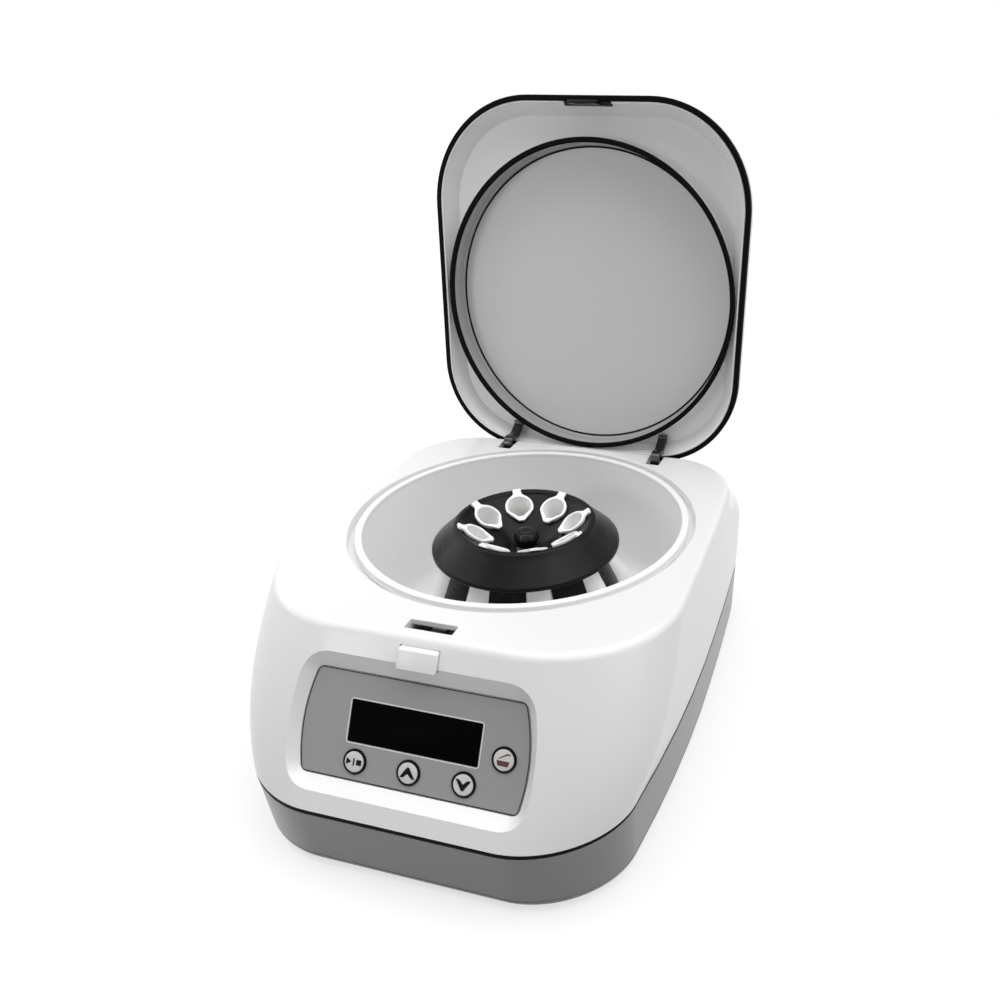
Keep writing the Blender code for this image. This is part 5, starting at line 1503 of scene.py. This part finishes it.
class CENTRIFUGE_OT_lid_fittings(Operator):
    """Build the striker at the lid's free edge and the two goosenecks that carry the lid."""

    bl_idname = "centrifuge.lid_fittings"
    bl_label = "Striker and hinge arms"

    def execute(self, context):
        sizes = lid_sizes()
        top = body_sizes().deck_height
        edge = lid_edge()
        y, half = striker_y, striker_half_depth
        foot = boxed("striker_foot", (-striker_half_width, y - half, edge + gap),
                     (striker_half_width, y + half, edge + gap + sizes.trim_height), 0.0004)
        tip = top - 0.0125
        wide, root = 0.0095, edge + 0.002
        plan = rounded_line([(-wide, tip), (wide, tip), (wide, root), (-wide, root)], 0.0016, 5)
        layers = ((-1, 0.8, 0.0003), (-1, 0.55, 0.0), (1, 0.55, 0.0), (1, 0.8, 0.0003))
        rings = [[(x, y + side * half * depth, z) for x, z in shifted_outline(plan, inset)]
                 for side, depth, inset in layers]
        tongue = drawn("tongue", rings)
        eye_low = top - 0.0095 - 0.0008
        eye = boxed("eye", (-0.0058, y - overrun, eye_low), (0.0058, y + overrun, eye_low + 0.0046), 0.0008)
        carve(tongue, [eye])
        striker = put(join_up("striker", [foot, tongue]), lid_turn())
        dress(striker, "Blackened steel", "lid", ["lid_striker"], 30)
        for name, x in (("left", -arm_x), ("right", arm_x)):
            strip = drawn(f"arm_{name}", arm_sections(x))
            side = arm_half_width
            eye_line = [(0.0020, -side), (0.0038, -side), (0.0042, 0.0004 - side), (0.0042, side - 0.0004),
                        (0.0038, side), (0.0020, side)]
            eye = turned("arm_eye", eye_line, 40)
            hinge = Matrix.Translation((x, sizes.hinge_y, top - sizes.hinge_drop))
            put(eye, hinge @ Matrix.Rotation(math.radians(90), 4, "Y"))
            arm = put(join_up(f"arm_{name}", [strip, eye]), lid_turn())
            dress(arm, "Arm steel", "lid", [f"hinge_arm_{name}"], 34)
        return {"FINISHED"}


# ---------------------------------------------------------------- panel, keys and button


def flat_shape(name, outline, low, high):
    """A small printed shape drawn in the panel's plane."""
    return drawn(name, [[(x, y, z) for x, y in outline] for z in (low, high)])


def flat_hoop(name, outline, width, low, high):
    inner = shifted_outline(outline, width)
    rings = [[(x, y, low) for x, y in outline], [(x, y, high) for x, y in outline],
             [(x, y, high) for x, y in inner], [(x, y, low) for x, y in inner]]
    return drawn(name, rings, hoop=True)


def circle_points(radius, count):
    angles = [math.tau * k / count for k in range(count)]
    return [(radius * math.cos(angle), radius * math.sin(angle)) for angle in angles]


def key_icons():
    """Generic signs for the keys: start and stop, up, down, and an opened lid."""
    chevron = [(-0.0042, -0.0026), (-0.0006, 0.0030), (0.0006, 0.0030), (0.0042, -0.0026), (0.0022, -0.0024),
               (0.0, -0.0003), (-0.0022, -0.0024)]
    flipped = [(x, -y) for x, y in reversed(chevron)]
    play = [(-0.0043, -0.0017), (-0.0014, 0.0), (-0.0043, 0.0017)]
    stop = [(0.0014, -0.0014), (0.0042, -0.0014), (0.0042, 0.0014), (0.0014, 0.0014)]
    bar = [(-0.0005, -0.0019), (0.0003, -0.0019), (0.0003, 0.0019), (-0.0005, 0.0019)]
    tub = [(-0.0028, -0.0030), (0.0026, -0.0030), (0.0034, -0.0004), (-0.0036, -0.0004)]
    flap = [(-0.0030, 0.0004), (-0.0024, 0.0004), (0.0020, 0.0028), (0.0034, 0.0028), (0.0034, 0.0034),
            (0.0014, 0.0034)]
    return {
        "start": ([play, bar, stop], "Print black"),
        "up": ([chevron], "Print black"),
        "down": ([flipped], "Print black"),
        "lid": ([tub, flap], "Print red"),
    }


class CENTRIFUGE_OT_panel(Operator):
    """Build the leaning control panel: film, a black line painted as the shadow in the gap round the film,
    display and its outline.
    """

    bl_idname = "centrifuge.panel"
    bl_label = "Control panel"

    def execute(self, context):
        plane = panel_frame()
        film_plan = panel_plan(corner=0.0025)
        film = slab("film", film_plan, -panel_thickness, 0.0, 0.0003)
        hole = boxed("hole", (-display_half_width - gap, display_low - gap, -overrun),
                     (display_half_width + gap, display_high + gap, overrun))
        holes = [hole]
        for x, y in key_places():
            holes.append(put(rod("hole", key_hole, -overrun, overrun, 48), Matrix.Translation((x, y, 0))))
        carve(film, holes)
        dress(put(film, plane), "Panel film", "base", ["control_panel"], 30, even=True)
        # Painted shadow: a thin black line laid round the film's edge stands in for the shade in the gap
        # between film and recess.
        line = flat_hoop("film_gap_painted_shadow", shifted_outline(film_plan, 0.0003), 0.00045, -0.0002, 0.00006)
        dress(put(line, plane), "Print black", "base")
        plan = [(-display_half_width, display_low), (display_half_width, display_low),
                (display_half_width, display_high), (-display_half_width, display_high)]
        window = slab("display", rounded_line(plan, 0.0004, 2), -panel_thickness, 0.0002, 0.0002, 2)
        dress(put(window, plane), "Display glass", "base", ["display_window"], 40)
        outline = shifted_outline(rounded_line(plan, 0.0006, 3), -0.0011)
        outline = flat_hoop("display_outline", outline, 0.0006, -0.0002, 0.0001)
        dress(put(outline, plane), "Print white", "base")
        return {"FINISHED"}


def key_places():
    row = [(k * key_pitch, key_row_height) for k in (-1, 0, 1)]
    return row + [(lid_key_x, lid_key_height)]


class CENTRIFUGE_OT_keys(Operator):
    """Build the four round keys with their dark rings and signs."""

    bl_idname = "centrifuge.keys"
    bl_label = "Keys"

    def execute(self, context):
        plane = panel_frame()
        icons = key_icons()
        for name, (x, y) in zip(("start", "up", "down", "lid"), key_places()):
            place = plane @ Matrix.Translation((x, y, 0))
            dome = [(key_radius * math.cos(a), 0.0007 + 0.0004 * math.sin(a)) for a in quarter_turn(8)]
            dome[-1] = (0, 0.0011)
            cap = turned(f"cap_{name}", [(0, key_bottom), (key_radius, key_bottom)] + dome, 56)
            dress(put(cap, place), "Key face", f"{name}_key", [f"key_{name}"], 50)
            inner, outer = key_radius + 0.00005, key_hole - gap
            ring_line = [(inner, key_bottom), (outer, key_bottom), (outer, 0.0006), (0.0063, 0.0009),
                         (0.0058, 0.0009), (inner, 0.0007)]
            ring = turned(f"key_ring_{name}", ring_line, 56)
            dress(put(ring, place), "Print black", f"{name}_key")
            shapes, ink = icons[name]
            parts = [flat_shape("sign", shape, 0.0006, 0.00116) for shape in shapes]
            sign = join_up(f"key_sign_{name}", parts) if len(parts) > 1 else parts[0]
            sign.name = f"key_sign_{name}"
            dress(put(sign, place), ink, f"{name}_key")
        return {"FINISHED"}


class CENTRIFUGE_OT_button(Operator):
    """Build the release button at the top of the front."""

    bl_idname = "centrifuge.button"
    bl_label = "Release button"

    def execute(self, context):
        low, high = button_heights()
        item = slope_block("release", button_half_width, low, high, recess_depth - button_sunk,
                           recess_depth + button_proud, 0.0010)
        dress(item, "Housing plastic", "release", ["release_button"], 50)
        return {"FINISHED"}


# ---------------------------------------------------------------- back of the base


def back_wall(z):
    return max(y for _, y, _ in body_ring(z))


class CENTRIFUGE_OT_back_fittings(Operator):
    """Build the mains inlet, the rocker switch and the fuse holder in the back of the base."""

    bl_idname = "centrifuge.back_fittings"
    bl_label = "Inlet, switch and fuse"

    def execute(self, context):
        flange_x, flange_z = 0.0165, 0.013
        body_x, body_z = inlet_half
        face = back_wall(inlet_z + flange_z) + gap
        mouth = face + 0.0018
        flange = boxed("inlet", (inlet_x - flange_x, face, inlet_z - flange_z),
                       (inlet_x + flange_x, mouth, inlet_z + flange_z), 0.0006)
        body = boxed("inlet_body", (inlet_x - body_x, face - 0.022, inlet_z - body_z),
                     (inlet_x + body_x, face + 0.0009, inlet_z + body_z))
        carve(flange, [body], "UNION")
        plan = rounded_line([(-0.0112, -0.0078), (0.0112, -0.0078), (0.0112, 0.0040), (0.0076, 0.0078),
                             (-0.0076, 0.0078), (-0.0112, 0.0040)], 0.0012, 4)
        well = drawn("inlet_well", [[(inlet_x + x, yy, inlet_z + z) for x, z in plan]
                                    for yy in (mouth - 0.015, mouth + overrun)])
        carve(flange, [well])
        dress(flange, "Socket plastic", "base", ["power_inlet"], 30)
        blades = []
        for dx, dz in ((-1, -1), (0, 1), (1, -1)):
            x, z = inlet_x + dx * 0.007, inlet_z + dz * 0.002
            blades.append(boxed("blade", (x - 0.001, mouth - 0.0153, z - 0.002),
                                (x + 0.001, mouth - 0.005, z + 0.002), 0.0004))
        dress(join_up("inlet_blades", blades), "Bright steel", "base")

        face = back_wall(inlet_z + 0.0122) + gap
        rim, depth = 0.0017, 0.0115
        body_x, body_z = switch_half
        holder = boxed("switch_rim", (switch_x - body_x - rim, face, inlet_z - body_z - rim),
                       (switch_x + body_x + rim, face + rim, inlet_z + body_z + rim), 0.0006)
        body = boxed("switch_body", (switch_x - body_x, face - 0.014, inlet_z - body_z),
                     (switch_x + body_x, face + rim / 2, inlet_z + body_z))
        carve(holder, [body], "UNION")
        inner_x, inner_z = body_x - rim, body_z - rim / 2
        carve(holder, [boxed("switch_well", (switch_x - inner_x, face - depth, inlet_z - inner_z),
                             (switch_x + inner_x, face + overrun, inlet_z + inner_z))])
        dress(holder, "Socket plastic", "base", ["switch_frame"], 30)
        centre = face - depth / 2
        half, reach = inner_x - gap, inner_z - gap * 4
        nose, front = reach * 5 / 6, depth / 2 + rim / 2
        rise = nose * math.tan(math.radians(9)) / 2
        outline = [(-reach / 3, -reach / 3), (-reach / 3, reach / 3), (0, reach), (front - rise, nose),
                   (front, 0), (front + rise, -nose), (0, -reach)]
        outline = rounded_line(outline, 0.0005, 3)
        rings = []
        for x, inset in ((-half, 0.0003), (-half + 0.0003, 0.0), (half - 0.0003, 0.0), (half, 0.0003)):
            rings.append([(switch_x + x, centre + a, inlet_z + b)
                          for a, b in shifted_outline(outline, -inset)])
        rocker = drawn("rocker_cap", rings)
        dress(rocker, "Socket plastic", "rocker", ["power_switch"], 34)
        mark = boxed("rocker_mark_on", (switch_x - 0.0004, 0, 0.0040), (switch_x + 0.0004, 0.00012, 0.0062))
        tilt = math.radians(4.5)
        sunk = 0.00003 + 0.005 * math.tan(tilt)
        place = Matrix.Translation((0, centre + front - sunk, inlet_z)) @ Matrix.Rotation(tilt, 4, "X")
        dress(put(mark, place), "Print white", "rocker")
        ring = flat_hoop("rocker_mark_off", circle_points(0.0013, 32), 0.0004, 0.0, 0.00012)
        place = Matrix.Translation((switch_x, centre + front + 0.0003, inlet_z - 0.0046))
        dress(put(ring, place @ Matrix.Rotation(math.radians(-90) + tilt, 4, "X")), "Print white", "rocker")

        face = back_wall(inlet_z + 0.0065) + gap
        line = [(0, -0.020), (0.0065, -0.020), (0.0065, 0), (0.0074, 0), (0.0074, 0.0008), (0.0066, 0.0014),
                (0.0062, 0.0036), (0.0058, 0.0040), (0.0030, 0.0040), (0.0028, 0.0036), (0, 0.0036)]
        fuse = turned("fuse_cap", line, 48)
        slot = boxed("fuse_slot", (-0.0040, -0.0006, 0.0030), (0.0040, 0.0006, 0.0060))
        carve(fuse, [slot])
        put(fuse, Matrix.Translation((fuse_x, face, inlet_z)) @ Matrix.Rotation(math.radians(-90), 4, "X"))
        dress(fuse, "Socket plastic", "base", ["fuse_holder"], 30)
        return {"FINISHED"}


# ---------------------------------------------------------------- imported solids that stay


class CENTRIFUGE_OT_inner_finishes(Operator):
    """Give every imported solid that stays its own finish."""

    bl_idname = "centrifuge.inner_finishes"
    bl_label = "Finishes of inner parts"

    def execute(self, context):
        kinds = {
            "motor": "Motor paint", "motor_plate": "Bright steel", "motor_shaft": "Turned steel",
            "shaft_seal": "Seal rubber", "hinge_pin_left": "Bright steel", "hinge_pin_right": "Bright steel",
            "latch_slide": "Bright steel", "latch_frame": "Latch plastic", "lock_solenoid": "Motor paint",
            "display_board": "Printed board", "circuit_board": "Printed board", "power_supply": "Motor paint",
        }
        kinds.update({f"motor_isolator_{k}": "Foot rubber" for k in range(1, 5)})
        for name, kind in kinds.items():
            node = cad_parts[name]
            for place in node.material_slots:
                place.material = finish(kind)
            if not node.material_slots:
                raise RuntimeError(f"{name} has no material slot")
        return {"FINISHED"}


# ---------------------------------------------------------------- stage


def soft_sun(name, towards, spread, strength):
    """A wide, soft lamp that shines evenly from a direction."""
    lamp = bpy.data.lights.new(name, "SUN")
    lamp.energy = strength
    lamp.angle = math.radians(spread)
    item = bpy.data.objects.new(name, lamp)
    bpy.context.scene.collection.objects.link(item)
    item.location = Vector(towards).normalized() * 1.5
    item.rotation_euler = Vector(towards).to_track_quat("Z", "Y").to_euler()
    return item


def soft_spot(name, place, target, cone, watts):
    """A soft-edged lamp aimed at one part of the object."""
    lamp = bpy.data.lights.new(name, "SPOT")
    lamp.energy = watts
    lamp.spot_size = math.radians(cone)
    lamp.spot_blend = 1.0
    lamp.shadow_soft_size = 0.12
    item = bpy.data.objects.new(name, lamp)
    bpy.context.scene.collection.objects.link(item)
    item.location = place
    item.rotation_euler = (Vector(place) - Vector(target)).to_track_quat("Z", "Y").to_euler()
    return item


def seen_share(tree):
    """1 for what the camera, a mirror or glass sees directly, 0 for what only lights the object."""
    path = tree.nodes.new("ShaderNodeLightPath")
    seen = add_math(tree, "MAXIMUM", path.outputs["Is Camera Ray"], path.outputs["Is Transmission Ray"])
    return add_math(tree, "MAXIMUM", seen, path.outputs["Is Glossy Ray"])


class CENTRIFUGE_OT_stage(Operator):
    """Set the pale floor, the white surroundings, the soft lamps and the camera."""

    bl_idname = "centrifuge.stage"
    bl_label = "Stage"

    def execute(self, context):
        scene = bpy.context.scene
        let_go()
        bpy.ops.mesh.primitive_plane_add(size=12.0, location=(0, 0, -body_sizes().foot_height))
        floor = settle(bpy.context.object)
        floor.name = "floor"
        made, tree, shader = new_finish("Floor paint", (0.36, 0.36, 0.36), 0.9)
        shader.inputs["Specular IOR Level"].default_value = 0.0
        glow = add_math(tree, "MULTIPLY", seen_share(tree), 0.66)
        shader.inputs["Emission Color"].default_value = (1.0, 1.0, 1.0, 1.0)
        tree.links.new(glow, shader.inputs["Emission Strength"])
        floor.data.materials.append(made)

        world = bpy.data.worlds.new("White surroundings")
        scene.world = world
        world.use_nodes = True
        sky = world.node_tree.nodes["Background"]
        sky.inputs["Color"].default_value = (1.0, 1.0, 1.0, 1.0)
        strength = world.node_tree.nodes.new("ShaderNodeMapRange")
        strength.inputs["To Min"].default_value = 0.20
        strength.inputs["To Max"].default_value = 1.0
        world.node_tree.links.new(seen_share(world.node_tree), strength.inputs["Value"])
        world.node_tree.links.new(strength.outputs["Result"], sky.inputs["Strength"])

        soft_sun("Top light", (0.08, 0.12, 1.0), 64.0, 0.65 * math.pi)
        soft_sun("Right light", (0.80, -0.04, 0.60), 56.0, 0.30 * math.pi)
        soft_sun("Left light", (-0.80, -0.04, 0.60), 56.0, 0.30 * math.pi)
        soft_sun("Front light", (-0.25, -0.95, 0.18), 60.0, 0.02 * math.pi)
        soft_spot("Lid light", (-0.45, -0.62, 0.38), (-0.055, 0.12, 0.205), 36.0, 4.0)

        camera = bpy.data.cameras.new("Photo camera")
        item = bpy.data.objects.new("Photo camera", camera)
        scene.collection.objects.link(item)
        right, up = Vector((0.9641, 0.2656, 0.0)), Vector((-0.1329, 0.4822, 0.8659))
        ahead = Vector((-0.2300, 0.8348, -0.5002))
        turn = Matrix((right, up, -ahead)).transposed().to_4x4()
        item.matrix_world = Matrix.Translation((0.2005, -0.4451, 0.3789)) @ turn
        camera.lens = 30.73
        camera.sensor_width = 36.0
        camera.shift_x = -0.1425
        camera.shift_y = 0.0513
        camera.clip_start = 0.01
        scene.camera = item
        scene.view_settings.view_transform = "Standard"
        scene.cycles.diffuse_bounces = 10
        return {"FINISHED"}


# ---------------------------------------------------------------- add-on


class CENTRIFUGE_PT_panel(Panel):
    """Lists the pieces of the centrifuge and their sizes and colours."""

    bl_idname = "CENTRIFUGE_PT_panel"
    bl_label = "Mini centrifuge"
    bl_space_type = "VIEW_3D"
    bl_region_type = "UI"
    bl_category = "Centrifuge"

    def draw(self, context):
        column = self.layout.column()
        for name in build_order:
            column.operator(f"centrifuge.{name}")
        for group in ("centrifuge_body", "centrifuge_rotor", "centrifuge_lid", "centrifuge_colours"):
            settings = getattr(context.scene, group)
            box = self.layout.box()
            for key in settings.bl_rna.properties.keys():
                if key not in ("rna_type", "name"):
                    box.prop(settings, key)


build_order = ("stage", "housing", "base", "chamber", "rotor", "sleeves", "nut", "lid_shell", "lid_tray",
               "lid_fittings", "panel", "keys", "button", "back_fittings", "inner_finishes")

classes = (CentrifugeBodySizes, CentrifugeRotorSizes, CentrifugeLidSizes, CentrifugeColours,
           CENTRIFUGE_OT_stage, CENTRIFUGE_OT_housing, CENTRIFUGE_OT_base, CENTRIFUGE_OT_chamber,
           CENTRIFUGE_OT_rotor, CENTRIFUGE_OT_sleeves, CENTRIFUGE_OT_nut, CENTRIFUGE_OT_lid_shell,
           CENTRIFUGE_OT_lid_tray, CENTRIFUGE_OT_lid_fittings, CENTRIFUGE_OT_panel, CENTRIFUGE_OT_keys,
           CENTRIFUGE_OT_button, CENTRIFUGE_OT_back_fittings, CENTRIFUGE_OT_inner_finishes,
           CENTRIFUGE_PT_panel)

settings_groups = {
    "centrifuge_body": CentrifugeBodySizes,
    "centrifuge_rotor": CentrifugeRotorSizes,
    "centrifuge_lid": CentrifugeLidSizes,
    "centrifuge_colours": CentrifugeColours,
}


def register():
    for item in classes:
        bpy.utils.register_class(item)
    for name, group in settings_groups.items():
        setattr(bpy.types.Scene, name, PointerProperty(type=group))


def unregister():
    for name in settings_groups:
        delattr(bpy.types.Scene, name)
    for item in reversed(classes):
        bpy.utils.unregister_class(item)


def main():
    """Registers the add-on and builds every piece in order."""
    register()
    for name in build_order:
        getattr(bpy.ops.centrifuge, name)()


if __name__ == "__main__":
    main()
